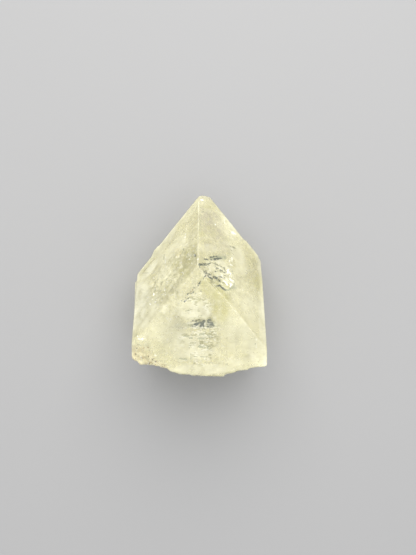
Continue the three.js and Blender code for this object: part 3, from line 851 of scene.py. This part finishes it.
def note_finishes(mesh, points, base, neighbours, settings):
    """Where each finish belongs, as a number on every point of the mesh."""
    normals = read(mesh, "normal")
    sharp = edge_sharpness(points, normals, neighbours) / settings.cell
    upward = facing_up(normals, 0.05, 0.4)
    along = share_along(points)
    _, pyramid, _ = face_masks(points, normals)
    masks = {name: patch_mask(points, rows) * upward for name, rows in PATCHES.items()}
    masks.update({name: stroke_mask(points, rows) * upward for name, rows in STROKES.items()})
    # worn edges: partly wear, partly a painted highlight
    masks["edge"] = smooth(0.26, 0.62, sharp) * (1 - 0.9 * masks.pop("rounded"))
    # painted shade: where the surface lies below its neighbourhood
    masks["hollow_shade"] = smooth(0.03, 0.25, -sharp)
    masks["aside"] = smooth(0.35, 0.0, normals[:, 2])
    masks["tip"] = smooth(TIP_CAP, 0.99, along)
    below_tip = smooth(0.96, 0.88, along)
    # painted light: a strip along the outline, seen from above
    masks["lit_rim"] = smooth(LIT_RIM_WIDTH, 0.1 * MM, outline_distance(points)) * upward * below_tip
    masks["base"] = base
    masks["left_pyramid"] = np.maximum(pyramid[-1, 1], pyramid[-1, -1])
    for name, values in masks.items():
        write_mask(mesh, name, values)
    mesh.update()


# ---- the crystal's finish --------------------------------------------------------------------------

# The finishes' own colours.
TONES = {
    "dull": (0.58, 0.555, 0.36, 1),
    "ribbed": (0.60, 0.56, 0.34, 1),
    # painted shade for the head of the right pyramid face
    "right_head_shade": (0.64, 0.60, 0.45, 1),
    "haze": (0.46, 0.48, 0.38, 1),
    "trace": (0.42, 0.41, 0.22, 1),
    "grit": (0.50, 0.49, 0.29, 1),
    # painted shade for the hollows
    "hollow_shade": (0.46, 0.45, 0.27, 1),
    "faint crack": (0.33, 0.34, 0.22, 1),
    "crackle": (0.22, 0.22, 0.14, 1),
    "tan": (0.87, 0.77, 0.47, 1),
    "tip": (0.86, 0.83, 0.68, 1),
    "sugar": (0.98, 0.95, 0.69, 1),
    "flour": (0.98, 0.96, 0.75, 1),
    # painted highlight of the ridges
    "ridge": (0.98, 0.96, 0.80, 1),
    # also the colour of the painted glints
    "crushed": (0.97, 0.97, 0.87, 1),
}


def crystal_patterns(n):
    """The patterns that more than one finish of the crystal follows."""
    broken = n.ramp(n.noise(0.8, detail=3, shift=10), 0.42, 0.52)
    return SimpleNamespace(
        clouds=n.ramp(n.noise(0.11, detail=3), 0.35, 0.68),
        blotches=n.ramp(n.noise(0.34, detail=4, shift=2, rough=0.6), 0.36, 0.64),
        flour=n.noise(1.5, detail=4, shift=1, rough=0.75),
        restless=n.spread(n.mask("calm"), 1.0, 0.2),
        layers=n.noise(0.95, stretch=(0.5, 2.0, 0.5), detail=3, shift=8, rough=0.6),
        marked=n.product(broken, n.spread(n.mask("traces"), 0.16, 1.0)),
        pebbles=n.cells(0.62, stretch=(1, 0.8, 1), shift=13),
    )


def paint_body(n, patterns, milk):
    """Cloudy body: floury, ribbed on the left, painted shade on the right, painted light at the outline.
    Returns its creamy part.
    """
    blotches, flour, restless = patterns.blotches, patterns.flour, patterns.restless
    n.coat(milk, patterns.clouds, 0.35)
    n.coat(TONES["dull"], blotches, 0.34)
    n.coat(TONES["flour"], n.ramp(flour, 0.53, 0.64, 0.0, 0.45), restless)
    n.coat(TONES["dull"], n.ramp(flour, 0.47, 0.36, 0.0, 0.55), restless)
    fibres = n.noise(1.1, stretch=(1, 0.06, 1), detail=3, shift=3)
    n.coat(TONES["dull"], n.ramp(fibres, 0.45, 0.72, 0.0, 0.3))
    fan = n.noise(1.2, stretch=(1, 0.09, 1), detail=3, turn=-0.6, shift=6)
    n.coat(TONES["ribbed"], n.mask("left_pyramid"), n.ramp(fan, 0.46, 0.60), 0.5)
    mottle = n.ramp(n.noise(0.6, detail=4, shift=7, rough=0.6), 0.38, 0.6, 0.25, 0.75)
    # painted shade: the head of the right pyramid face, mottled
    n.coat(TONES["right_head_shade"], n.mask("shaded_right_head"), mottle)
    # cloudier patches, partly painted light along the outline
    creamy = n.product(n.mask("milky_and_lit"), n.ramp(n.noise(0.7, detail=3, shift=9), 0.32, 0.58, 0.45, 0.95))
    n.coat(milk, creamy)
    # painted light: the strip along the outline is painted paler, as if lit through the thin edge
    n.coat(milk, n.mask("lit_rim"), n.mask("lit_rim"), n.spread(blotches, 0.6, 0.15))
    return creamy


def paint_depths(n, patterns, olive):
    """The clear olive zones, the grey haze with its painted shadow, and the stacked cleavage traces."""
    clear = n.ramp(n.noise(0.7, detail=4, shift=5, rough=0.6), 0.32, 0.60, 0.45, 0.95)
    n.coat(olive, n.mask("deep"), clear, 0.76)
    smear = n.noise(1.3, stretch=(0.45, 1.6, 0.45), detail=4, shift=11, rough=0.65)
    n.coat(TONES["haze"], n.mask("haze"), n.ramp(smear, 0.38, 0.6, 0.15, 0.75))
    n.coat(TONES["trace"], n.band(patterns.layers, 0.40, 0.50), patterns.marked, 0.9)
    n.coat(TONES["flour"], n.band(patterns.layers, 0.48, 0.58), patterns.marked, 0.85)


def paint_sugar(n, patterns):
    """The pale pebbles and the grit of the pitted face, and painted shade in the hollows."""
    sugar = n.mask("sugar")
    lots = n.ramp(n.noise(0.5, shift=15), 0.4, 0.6)
    n.coat(TONES["sugar"], sugar, n.ramp(patterns.pebbles, 0.42, 0.16), lots, 0.85)
    grit = n.noise(1.7, stretch=(1, 0.8, 1), detail=4, shift=12, rough=0.7)
    n.coat(TONES["grit"], sugar, n.ramp(grit, 0.54, 0.60), 0.68)
    n.coat(TONES["sugar"], sugar, n.ramp(grit, 0.45, 0.39), 0.85)
    # painted shade: the hollows are painted darker
    n.coat(TONES["hollow_shade"], n.mask("hollow_shade"), 0.22)


def paint_sides(n, patterns, milk):
    """The sides, painted paler as painted light, and the pearly broken base."""
    # painted light: the sides, which get less light, are painted paler
    n.coat(milk, n.mask("aside"), n.spread(patterns.blotches, 0.75, 0.4))
    pearl = n.noise(0.9, stretch=(1, 0.1, 0.5), detail=3, shift=16)
    n.coat(TONES["flour"], n.mask("base"), n.ramp(pearl, 0.38, 0.6, 0.15, 0.7))


def paint_breaks(n, dark):
    """Cracks, crackle and crushed places with painted glints, and the worn ridge with painted highlight
    and shade. Returns how far they cover the clear crystal.
    """
    ragged = n.spread(n.noise(2.1, detail=4, shift=17, rough=0.7), -0.24, 0.24)
    gaps = n.ramp(n.noise(2.0, stretch=(0.7, 1.6, 0.7), shift=18), 0.38, 0.46, 0.4, 1.0)
    faint = n.product(n.strokes("faint", ragged), gaps, 0.9)
    # the faint strokes hold grey cracks and the painted shade beside the ridge
    n.coat(TONES["faint crack"], faint)

    splinters = n.noise(1.15, stretch=(0.6, 1.7, 0.6), detail=3, turn=-0.45, shift=19, rough=0.6)
    places = n.ramp(n.noise(0.8, shift=20), 0.36, 0.46, 0.35, 1.0)
    crackle = n.product(n.mask("crackle"), n.ramp(splinters, 0.555, 0.59), places, 0.95)
    n.coat(TONES["crackle"], crackle)
    # painted glints between the dark splinters
    n.coat(TONES["flour"], n.mask("crackle"), n.ramp(splinters, 0.46, 0.41), places, 0.95)

    crumbs = n.noise(1.7, detail=4, shift=21, rough=0.7)
    crush = n.ramp(n.math("ADD", n.mask("crush"), crumbs), 1.33, 1.40)
    pale = n.highest(crush, n.product(n.strokes("pale", ragged), gaps, 0.85))
    # crushed places and painted glints
    n.coat(TONES["crushed"], pale)
    # painted highlight along the worn ridges
    ridge = n.strokes("ridge", n.spread(crumbs, -0.05, 0.05))
    n.coat(TONES["ridge"], ridge, 0.75)
    crack = n.product(n.strokes("dark", ragged), gaps)
    n.coat(dark, crack)
    return n.highest(crack, faint, crackle, pale, n.product(ridge, 0.7))


def paint_stain(n, settings):
    """Tan, rust and soot in the stained corner. Returns the rust."""
    stain = n.mask("stain")
    specks = n.noise(1.5, detail=4, shift=25, rough=0.7)
    n.coat(TONES["tan"], stain, n.ramp(specks, 0.40, 0.60, 0.3, 0.85))
    rust = n.product(stain, n.ramp(n.noise(1.1, detail=4, shift=26, rough=0.75), 0.54, 0.61), 0.5)
    n.coat(colour(settings.rust), rust)
    n.coat(colour(settings.soot), stain, n.ramp(n.noise(2.6, shift=28), 0.75, 0.79))
    return rust


def paint_wear(n):
    """The white of the worn edges, partly wear and partly a painted highlight where they catch the light,
    and of the tip. Returns the edges.
    """
    worn = n.product(n.mask("edge"), n.ramp(n.noise(1.4, detail=3, shift=31), 0.34, 0.6, 0.2, 0.85))
    # partly wear, partly a painted highlight on the edges
    n.coat(TONES["flour"], worn)
    n.coat(TONES["tip"], n.mask("tip"), 0.3)
    return worn


def crystal_clearness(n, patterns, cover, clearness):
    """How much light goes through: less in the clouds and hardly any where the crystal is broken."""
    cloudy = n.spread(patterns.clouds, clearness + 0.08, clearness - 0.12)
    cloudy = n.math("ADD", cloudy, n.product(n.mask("aside"), 0.2))
    return n.product(cloudy, n.math("SUBTRACT", 1.0, n.product(cover, 0.85), clamp=True))


def crystal_roughness(n, cover):
    """A satin face, duller where it is broken or pitted and glossier on the sides."""
    rough = n.spread(n.noise(0.8, detail=4, shift=34), 0.18, 0.36)
    rough = n.math("ADD", rough, n.product(cover, 0.28))
    rough = n.math("ADD", rough, n.product(n.mask("aside"), -0.1))
    return n.math("ADD", rough, n.product(n.mask("sugar"), 0.12), clamp=True)


def crystal_grain(n, patterns):
    """The finest relief: grain, flour, layers, pebbles and long scratches, from below up."""
    grain = n.bump(n.noise(5.0, shift=37), 0.02 * MM, 0.25)
    grain = n.bump(patterns.flour, 0.08 * MM, n.product(patterns.restless, 0.5), grain)
    grain = n.bump(patterns.layers, 0.16 * MM, n.product(patterns.marked, 0.6), grain)
    grain = n.bump(patterns.pebbles, 0.3 * MM, n.product(n.mask("sugar"), 0.7), grain)
    scratch = n.noise(2.0, stretch=(1, 0.05, 1), turn=0.5, shift=40)
    return n.bump(n.ramp(scratch, 0.62, 0.7), 0.01 * MM, 0.3, grain)


def crystal_material(settings):
    """Translucent pale yellow crystal: cloudy inside, with worn white edges partly painted as highlights,
    dark cracks and rust, and painted light and shade in places.
    """
    n = Nodes("apophyllite", colour(settings.cream))
    milk = colour(settings.milk)
    patterns = crystal_patterns(n)
    creamy = paint_body(n, patterns, milk)
    paint_depths(n, patterns, colour(settings.olive))
    paint_sugar(n, patterns)
    paint_sides(n, patterns, milk)
    broken = paint_breaks(n, colour(settings.crack))
    rust = paint_stain(n, settings)
    worn = paint_wear(n)
    cover = n.highest(broken, rust, worn, n.product(n.mask("lit_rim"), 0.45), n.product(creamy, 0.5))
    material = n.surface(
        {
            "Base Color": n.shade,
            "Roughness": crystal_roughness(n, cover),
            "IOR": settings.index,
            "Transmission Weight": crystal_clearness(n, patterns, cover, settings.clearness),
            "Normal": crystal_grain(n, patterns),
        }
    )
    n.absorb(colour(settings.tint), settings.tint_density)
    return material


class APOPHYLLITE_OT_crystal(bpy.types.Operator):
    """Grow the crystal's worn surface on its solid"""

    bl_idname = "apophyllite.crystal"
    bl_label = "Crystal"

    def execute(self, context):
        settings = context.scene.apophyllite_crystal
        piece = fine_copy(settings)
        shape_crystal(piece, settings)
        finish_piece(piece, crystal_material(settings))
        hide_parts(NODE)
        return {"FINISHED"}


# ---- cracks, veils and grains ----------------------------------------------------------------------


def crystal_tree():
    """The finished crystal's surface, to set small pieces on it and keep others inside it."""
    if PIECE not in bpy.data.objects:
        raise RuntimeError("The crystal has to be grown before anything is set on it or in it")
    mesh = bpy.data.objects[PIECE].data
    return BVHTree.FromPolygons(
        [vertex.co for vertex in mesh.vertices], [polygon.vertices for polygon in mesh.polygons]
    )


def from_above(tree, x, y):
    """The crystal's surface under a point seen from above: where it is and which way it faces."""
    return tree.ray_cast(Vector((x, y, 2 * HIGH.z)), Vector(DOWN))[:2]


def depth_inside(tree, point):
    """How deep a point lies in the crystal; below 0 outside it."""
    nearest, normal, _, distance = tree.find_nearest(point)
    return distance if (nearest - point).dot(normal) > 0 else -distance


def in_patch(row, random_share):
    """A random place in a patch, seen from above."""
    across, along, half_length, half_breadth, turn, _ = row
    middle = place(across, along, 1)
    reach, angle = math.sqrt(random_share()), random_share() * math.tau
    x = half_length * MM * reach * math.cos(angle)
    y = half_breadth * MM * reach * math.sin(angle)
    turned = Matrix.Rotation(math.radians(turn), 2) @ Vector((x, y))
    return middle.x + turned.x, middle.y + turned.y


def scattered(tree, row, count, random_share):
    """Random spots in a patch where the surface looks up enough, and which way it faces there."""
    for _ in range(count):
        at, normal = from_above(tree, *in_patch(row, random_share))
        if at is not None and normal.z >= LEAST_RISE:
            yield at, normal


def any_turn(random_share):
    """A random rotation."""
    axis = Vector((random_share() - 0.5, random_share() - 0.5, random_share() - 0.5)).normalized()
    return Matrix.Rotation(random_share() * math.tau, 4, axis)


def grain_size(least, extra, random_share):
    """A random size from so many millimetres up, more often a small one."""
    return (least + extra * random_share() ** 2) * MM


def add_lump(mesh, at, sizes, turn, random_share):
    """One irregular grain."""
    made = bmesh.ops.create_icosphere(mesh, subdivisions=1, radius=1)["verts"]
    for vertex in made:
        vertex.co = vertex.co * (1 + LUMPINESS * (2 * random_share() - 1))
    in_place = Matrix.Translation(at) @ turn @ Matrix.Diagonal((*sizes, 1))
    bmesh.ops.transform(mesh, matrix=in_place, verts=made)


def add_block(mesh, at, sizes, turn):
    """One small square crystal."""
    made = bmesh.ops.create_cube(mesh, size=1)["verts"]
    in_place = Matrix.Translation(at) @ turn @ Matrix.Diagonal((*sizes, 1))
    bmesh.ops.transform(mesh, matrix=in_place, verts=made)


def piece_from(name, mesh):
    """A new piece from a working mesh, which is freed."""
    data = bpy.data.meshes.new(name)
    mesh.to_mesh(data)
    mesh.free()
    return link(name, data)


# The films at the bottom of the solid's open cleavage cracks, which carry each of them on: the middle of
# the crack's mouth in the crystal's box, the way that it runs in, half its width and its depth in
# millimetres, and its lean towards the tip in degrees.
CRACKS = [
    ((0.505, 0.297, 0.997), DOWN, 1.2, 4.4, -18),
    ((0.588, 0.292, 0.997), DOWN, 0.85, 3.6, -14),
    ((0.524, 0.221, 0.997), DOWN, 0.8, 2.8, 6),
    ((0.534, 0.157, 0.997), DOWN, 1.0, 3.4, -4),
    ((0.388, 0.096, 0.997), DOWN, 1.4, 3.0, 5),
    ((0.617, 0.636, 0.813), DOWN_LEFT, 2.4, 3.6, -8),
    ((0.535, 0.595, 0.945), DOWN_LEFT, 1.4, 2.8, 6),
    ((0.665, 0.527, 0.887), DOWN_LEFT, 0.9, 2.4, -12),
    ((0.012, 0.250, 0.414), RIGHT, 2.6, 4.2, 5),
    ((0.012, 0.134, 0.620), RIGHT, 1.6, 3.4, -6),
    ((0.988, 0.268, 0.372), LEFT, 2.8, 4.6, -5),
    ((0.988, 0.413, 0.495), LEFT, 1.5, 3.2, 8),
    ((0.320, 0.709, 0.377), UP_RIGHT, 1.8, 3.6, -9),
    ((0.420, 0.325, 0.0), UP, 2.4, 4.2, 7),
]

# The wider films under the stack and the bruise, and four deeper ones, which reach no face: the middle
# in the crystal's box, half the width and half the height in millimetres, and the lean towards the tip
# in degrees.
INNER_CRACKS = [
    ((0.54, 0.28, 0.90), 3.0, 2.0, 16),
    ((0.53, 0.31, 0.80), 4.2, 2.6, -10),
    ((0.55, 0.21, 0.86), 2.4, 2.2, 8),
    ((0.47, 0.16, 0.84), 3.4, 2.6, -6),
    ((0.62, 0.62, 0.74), 2.2, 1.7, 20),
    ((0.66, 0.53, 0.72), 2.6, 1.8, -14),
    ((0.30, 0.12, 0.45), 3.8, 4.4, 5),
    ((0.74, 0.10, 0.55), 3.6, 4.0, -5),
    ((0.50, 0.40, 0.35), 4.4, 3.6, 9),
    ((0.36, 0.50, 0.50), 3.0, 2.8, -12),
]


def add_crack(mesh, tree, crack, seed, settings):
    """The film that carries one open crack on."""
    mouth, inwards, half_width, depth, lean = crack
    inwards = Vector(inwards).normalized()
    across = inwards.cross(Vector(AHEAD))
    turn = Matrix.Rotation(math.radians(lean), 3, across)
    inwards = turn @ inwards
    middle = place(*mouth) + inwards * (settings.crack_middle * depth * MM)
    axes = (across, inwards, turn @ Vector(AHEAD))
    half_sizes = (half_width, settings.crack_reach * depth)
    add_film(mesh, tree, middle, axes, half_sizes, settings.crack_wave, seed, settings)


def add_inner_crack(mesh, tree, crack, seed, settings):
    """One of the wider films, tilted and half as much twisted."""
    middle, half_width, half_height, lean = crack
    turn = Matrix.Rotation(math.radians(lean), 3, "X") @ Matrix.Rotation(math.radians(lean / 2), 3, "Z")
    axes = [turn @ Vector(axis) for axis in (RIGHT, DOWN, AHEAD)]
    half_sizes = (half_width, half_height)
    add_film(mesh, tree, place(*middle), axes, half_sizes, settings.inner_wave, seed, settings)


def add_film(mesh, tree, middle, axes, half_sizes, wave_height, seed, settings):
    """One film: a thin closed lens with a ragged rim and a gently waved surface."""
    across, inwards, opening = axes
    half_width, half_depth = half_sizes
    shift = Vector((seed * 7.1, 3.3, 1.9))
    rings, sides = settings.crack_rings, settings.crack_sides
    layers = {1: [], -1: []}
    for ring in range(rings + 1):
        share = ring / rings
        gape = settings.crack_gape * (1 - share**2)
        for side in range(sides):
            angle = math.tau * side / sides
            heading = Vector((math.cos(angle), 0, math.sin(angle)))
            reach = MM * share * (1 + 0.28 * fractal(heading * 1.6 + shift))
            flat = across * (heading.x * half_width * reach) + inwards * (heading.z * half_depth * reach)
            wave = wave_height * fractal(flat / MM * 0.7 + shift)
            for layer, row in layers.items():
                point = middle + flat + opening * (wave + layer * gape / 2)
                if depth_inside(tree, point) < settings.crack_cover:
                    nearest, normal, _, _ = tree.find_nearest(point)
                    point = nearest - normal * settings.crack_cover
                row.append(mesh.verts.new(point))
    for layer, row in layers.items():
        for ring in range(rings):
            for side in range(sides):
                near, far = ring * sides, (ring + 1) * sides
                following = (side + 1) % sides
                corners = [row[near + side], row[far + side], row[far + following], row[near + following]]
                mesh.faces.new(corners if layer > 0 else corners[::-1])


def crack_material():
    """A bright film: the crack's air turns light back like a mirror behind the crystal."""
    n = Nodes("cleavage_film")
    film = n.noise(1.4, stretch=(1, 0.2, 1), detail=3)
    shade = n.blend(n.ramp(film, 0.35, 0.65), (0.55, 0.56, 0.40, 1), (0.97, 0.96, 0.82, 1))
    rough = n.spread(film, 0.1, 0.35)
    return n.surface({"Base Color": shade, "Roughness": rough, "Transmission Weight": 0.5, "IOR": 1.4})


class APOPHYLLITE_OT_cracks(bpy.types.Operator):
    """Open the cleavage cracks inside the crystal"""

    bl_idname = "apophyllite.cracks"
    bl_label = "Cleavage cracks"

    def execute(self, context):
        settings = context.scene.apophyllite_inside
        tree = crystal_tree()
        mesh = bmesh.new()
        for seed, crack in enumerate(CRACKS):
            add_crack(mesh, tree, crack, seed, settings)
        for seed, crack in enumerate(INNER_CRACKS, len(CRACKS)):
            add_inner_crack(mesh, tree, crack, seed, settings)
        bmesh.ops.remove_doubles(mesh, verts=mesh.verts, dist=0.002 * MM)
        finish_piece(piece_from("cleavage_cracks", mesh), crack_material())
        return {"FINISHED"}


# Cloudy veils: curved sheets of tiny hollows. The middle in the crystal's box, half the width and half
# the height in millimetres, and the turn about X and about Y in degrees.
VEILS = [
    ((0.30, 0.52, 0.70), (4.6, 3.0), (35, 35)),
    ((0.42, 0.36, 0.60), (5.2, 3.4), (70, -20)),
    ((0.68, 0.40, 0.62), (4.4, 3.6), (60, 30)),
    ((0.55, 0.70, 0.55), (3.2, 3.0), (25, -15)),
    ((0.40, 0.20, 0.50), (6.0, 3.0), (84, 5)),
]


def add_veil(mesh, tree, veil, random_share, settings):
    """One bent sheet of tiny hollows, left out where they would come too near to the surface."""
    (across, along, up), (half_width, half_height), (about_x, about_y) = veil
    middle = place(across, along, up)
    turn = Matrix.Rotation(math.radians(about_y), 3, "Y") @ Matrix.Rotation(math.radians(about_x), 3, "X")
    for _ in range(settings.bubbles):
        x, y = random_share() + random_share() - 1, random_share() + random_share() - 1
        bend = 0.9 * noise.noise(Vector((2 * x, 2 * y, across * 9)))
        point = middle + turn @ (Vector((half_width * x, half_height * y, bend)) * MM)
        if depth_inside(tree, point) < settings.veil_cover:
            continue
        size = grain_size(0.03, 0.05, random_share)
        sizes = (size, size * (0.7 + random_share()), 0.4 * size)
        add_lump(mesh, point, sizes, turn.to_4x4(), random_share)


def veil_material():
    """Pale hollows that scatter light."""
    n = Nodes("veil")
    shade = n.blend(n.ramp(n.noise(0.9), 0.4, 0.6), (0.80, 0.78, 0.56, 1), (1.0, 0.99, 0.90, 1))
    return n.surface({"Base Color": shade, "Roughness": 0.35, "Transmission Weight": 0.3, "IOR": 1.3})


class APOPHYLLITE_OT_veils(bpy.types.Operator):
    """Hang cloudy veils of tiny hollows inside the crystal"""

    bl_idname = "apophyllite.veils"
    bl_label = "Cloudy veils"

    def execute(self, context):
        tree = crystal_tree()
        random_share = random.Random(VEIL_SEED).random
        mesh = bmesh.new()
        for veil in VEILS:
            add_veil(mesh, tree, veil, random_share, context.scene.apophyllite_inside)
        finish_piece(piece_from("cloudy_veils", mesh), veil_material())
        return {"FINISHED"}


# Dark crumbs that sit in small breaks outside the stained corner, as patches whose last number is the
# share of the grains that a stained patch has.
CRUMB_ROWS = [
    (0.461, 0.462, 3.3, 0.18, 48, 0.25),
    (0.560, 0.530, 2.4, 0.25, -54, 0.25),
    (0.138, 0.155, 0.2, 0.15, 0, 0.08),
    (0.192, 0.076, 0.2, 0.15, 0, 0.08),
    (0.620, 0.520, 0.9, 0.6, 0, 0.2),
]


def grain_material():
    """Brown and black matrix crumbs."""
    n = Nodes("matrix")
    kind = n.noise(0.9)
    shade = n.blend(n.ramp(kind, 0.42, 0.58), (0.05, 0.045, 0.04, 1), (0.30, 0.21, 0.10, 1))
    shade = n.blend(n.ramp(n.noise(6.0, shift=4), 0.5, 0.65), shade, (0.55, 0.48, 0.30, 1))
    return n.surface({"Base Color": shade, "Roughness": n.spread(kind, 0.5, 0.9)})


class APOPHYLLITE_OT_grains(bpy.types.Operator):
    """Set brown and black grains in the stained corner and the small breaks"""

    bl_idname = "apophyllite.grains"
    bl_label = "Matrix grains"

    def execute(self, context):
        tree = crystal_tree()
        random_share = random.Random(CRUMB_SEED).random
        mesh = bmesh.new()
        for row in PATCHES["stain"][:2] + CRUMB_ROWS:
            count = round(context.scene.apophyllite_inside.matrix_grains * row[-1])
            for at, normal in scattered(tree, row, count, random_share):
                size = grain_size(0.05, 0.10, random_share)
                sizes = (size, size * (0.6 + 0.7 * random_share()), size * 0.8)
                add_lump(mesh, at - normal * size * 0.35, sizes, any_turn(random_share), random_share)
        finish_piece(piece_from("matrix_grains", mesh), grain_material())
        return {"FINISHED"}


def sugar_material():
    """Tiny glassy crystals that catch the light."""
    n = Nodes("sugar")
    shade = n.blend(n.ramp(n.noise(1.5), 0.4, 0.6), (0.90, 0.87, 0.62, 1), (1.0, 1.0, 0.93, 1))
    return n.surface({"Base Color": shade, "Roughness": 0.12, "Transmission Weight": 0.35, "IOR": 1.535})


class APOPHYLLITE_OT_sugar(bpy.types.Operator):
    """Strew tiny crystals over the pitted face, the bruise's rim and the stained corner"""

    bl_idname = "apophyllite.sugar"
    bl_label = "Tiny crystals"

    def execute(self, context):
        tree = crystal_tree()
        random_share = random.Random(SUGAR_SEED).random
        mesh = bmesh.new()
        rows = PATCHES["sugar"] + PATCHES["crush"] + PATCHES["stain"][:2]
        areas = [half_length * half_breadth for _, _, half_length, half_breadth, _, _ in rows]
        for row, area in zip(rows, areas):
            count = round(context.scene.apophyllite_inside.sugar_grains * area / sum(areas)) + 3
            for at, normal in scattered(tree, row, count, random_share):
                size = grain_size(0.06, 0.12, random_share)
                sizes = (size, size * (0.7 + 0.6 * random_share()), size)
                add_block(mesh, at - normal * size * 0.2, sizes, any_turn(random_share))
        finish_piece(piece_from("tiny_crystals", mesh), sugar_material())
        return {"FINISHED"}


# ---- the stage -------------------------------------------------------------------------------------


def floor_material(settings):
    """Plain pale board with a faint mottle."""
    n = Nodes("pale_board")
    low = [side * 0.985 for side in settings.floor]
    shade = n.blend(n.noise(0.02, detail=4), colour(low), colour(settings.floor))
    return n.surface({"Base Color": shade, "Roughness": 0.75})


def make_floor(settings):
    """A wide round board under the crystal."""
    board = bmesh.new()
    bmesh.ops.create_circle(board, cap_ends=True, segments=64, radius=settings.floor_reach)
    floor = piece_from("floor", board)
    floor.data.materials.append(floor_material(settings))


def soft_light(name, place_in_lengths, size_in_lengths, power, shade):
    """A round soft light that faces the crystal, placed and sized in crystal lengths."""
    lamp = bpy.data.lights.new(name, "AREA")
    lamp.shape = "DISK"
    lamp.size = size_in_lengths * LENGTH
    lamp.energy = power
    lamp.color = shade
    light = link(name, lamp)
    light.location = MIDDLE + Vector(place_in_lengths) * LENGTH
    light.rotation_euler = (MIDDLE - light.location).to_track_quat("-Z", "Y").to_euler()


def make_lights(settings):
    """Even light from all round, a soft key light from behind the tip and a soft one overhead."""
    world = bpy.data.worlds.new("studio")
    world.use_nodes = True
    back = world.node_tree.nodes["Background"]
    back.inputs["Color"].default_value = (1.0, 1.0, 1.0, 1.0)
    back.inputs["Strength"].default_value = settings.world
    bpy.context.scene.world = world
    soft_light("key", KEY_PLACE, KEY_SIZE, settings.key_power, KEY_COLOUR)
    soft_light("overhead", OVERHEAD_PLACE, OVERHEAD_SIZE, settings.fill_power, OVERHEAD_COLOUR)


def make_camera(settings):
    """The camera looks straight down, a little to the right of the crystal's middle."""
    data = bpy.data.cameras.new("camera")
    data.lens = settings.lens
    camera = link("camera", data)
    x, y = MIDDLE.x + CAMERA_RIGHT * WIDTH, MIDDLE.y + CAMERA_AHEAD * LENGTH
    camera.location = (x, y, HIGH.z + CAMERA_OVER * THICKNESS)
    data.clip_start = 0.1 * camera.location.z
    data.clip_end = 100 * camera.location.z
    bpy.context.scene.camera = camera


class APOPHYLLITE_OT_stage(bpy.types.Operator):
    """Lay the floor and set the light and the camera"""

    bl_idname = "apophyllite.stage"
    bl_label = "Stage"

    def execute(self, context):
        settings = context.scene.apophyllite_stage
        make_floor(settings)
        make_lights(settings)
        make_camera(settings)
        context.scene.view_settings.view_transform = "Standard"
        context.scene.view_settings.exposure = settings.exposure
        return {"FINISHED"}


# ---- the panel and the run -------------------------------------------------------------------------

SETTINGS = {
    "apophyllite_stage": StageSettings,
    "apophyllite_crystal": CrystalSettings,
    "apophyllite_inside": InsideSettings,
}

# Each group of settings with the operators that read it, in the order that they run in.
OPERATORS = {
    "apophyllite_stage": [APOPHYLLITE_OT_stage],
    "apophyllite_crystal": [APOPHYLLITE_OT_crystal],
    "apophyllite_inside": [
        APOPHYLLITE_OT_cracks,
        APOPHYLLITE_OT_veils,
        APOPHYLLITE_OT_grains,
        APOPHYLLITE_OT_sugar,
    ],
}


class APOPHYLLITE_PT_panel(bpy.types.Panel):
    """Lists what this add-on makes and what may be changed"""

    bl_label = "Apophyllite pyramid"
    bl_space_type = "VIEW_3D"
    bl_region_type = "UI"
    bl_category = "Apophyllite"

    def draw(self, context):
        for settings, operators in OPERATORS.items():
            box = self.layout.box()
            for operator in operators:
                box.operator(operator.bl_idname)
            group = getattr(context.scene, settings)
            for name in SETTINGS[settings].__annotations__:
                box.prop(group, name)


CLASSES = [
    CrystalSettings,
    InsideSettings,
    StageSettings,
    APOPHYLLITE_OT_stage,
    APOPHYLLITE_OT_crystal,
    APOPHYLLITE_OT_cracks,
    APOPHYLLITE_OT_veils,
    APOPHYLLITE_OT_grains,
    APOPHYLLITE_OT_sugar,
    APOPHYLLITE_PT_panel,
]


def register():
    for item in CLASSES:
        bpy.utils.register_class(item)
    for name, group in SETTINGS.items():
        setattr(bpy.types.Scene, name, PointerProperty(type=group))


def unregister():
    for name in SETTINGS:
        delattr(bpy.types.Scene, name)
    for item in reversed(CLASSES):
        bpy.utils.unregister_class(item)


def main():
    register()
    bpy.ops.apophyllite.stage()
    bpy.ops.apophyllite.crystal()
    bpy.ops.apophyllite.cracks()
    bpy.ops.apophyllite.veils()
    bpy.ops.apophyllite.grains()
    bpy.ops.apophyllite.sugar()


if __name__ == "__main__":
    main()
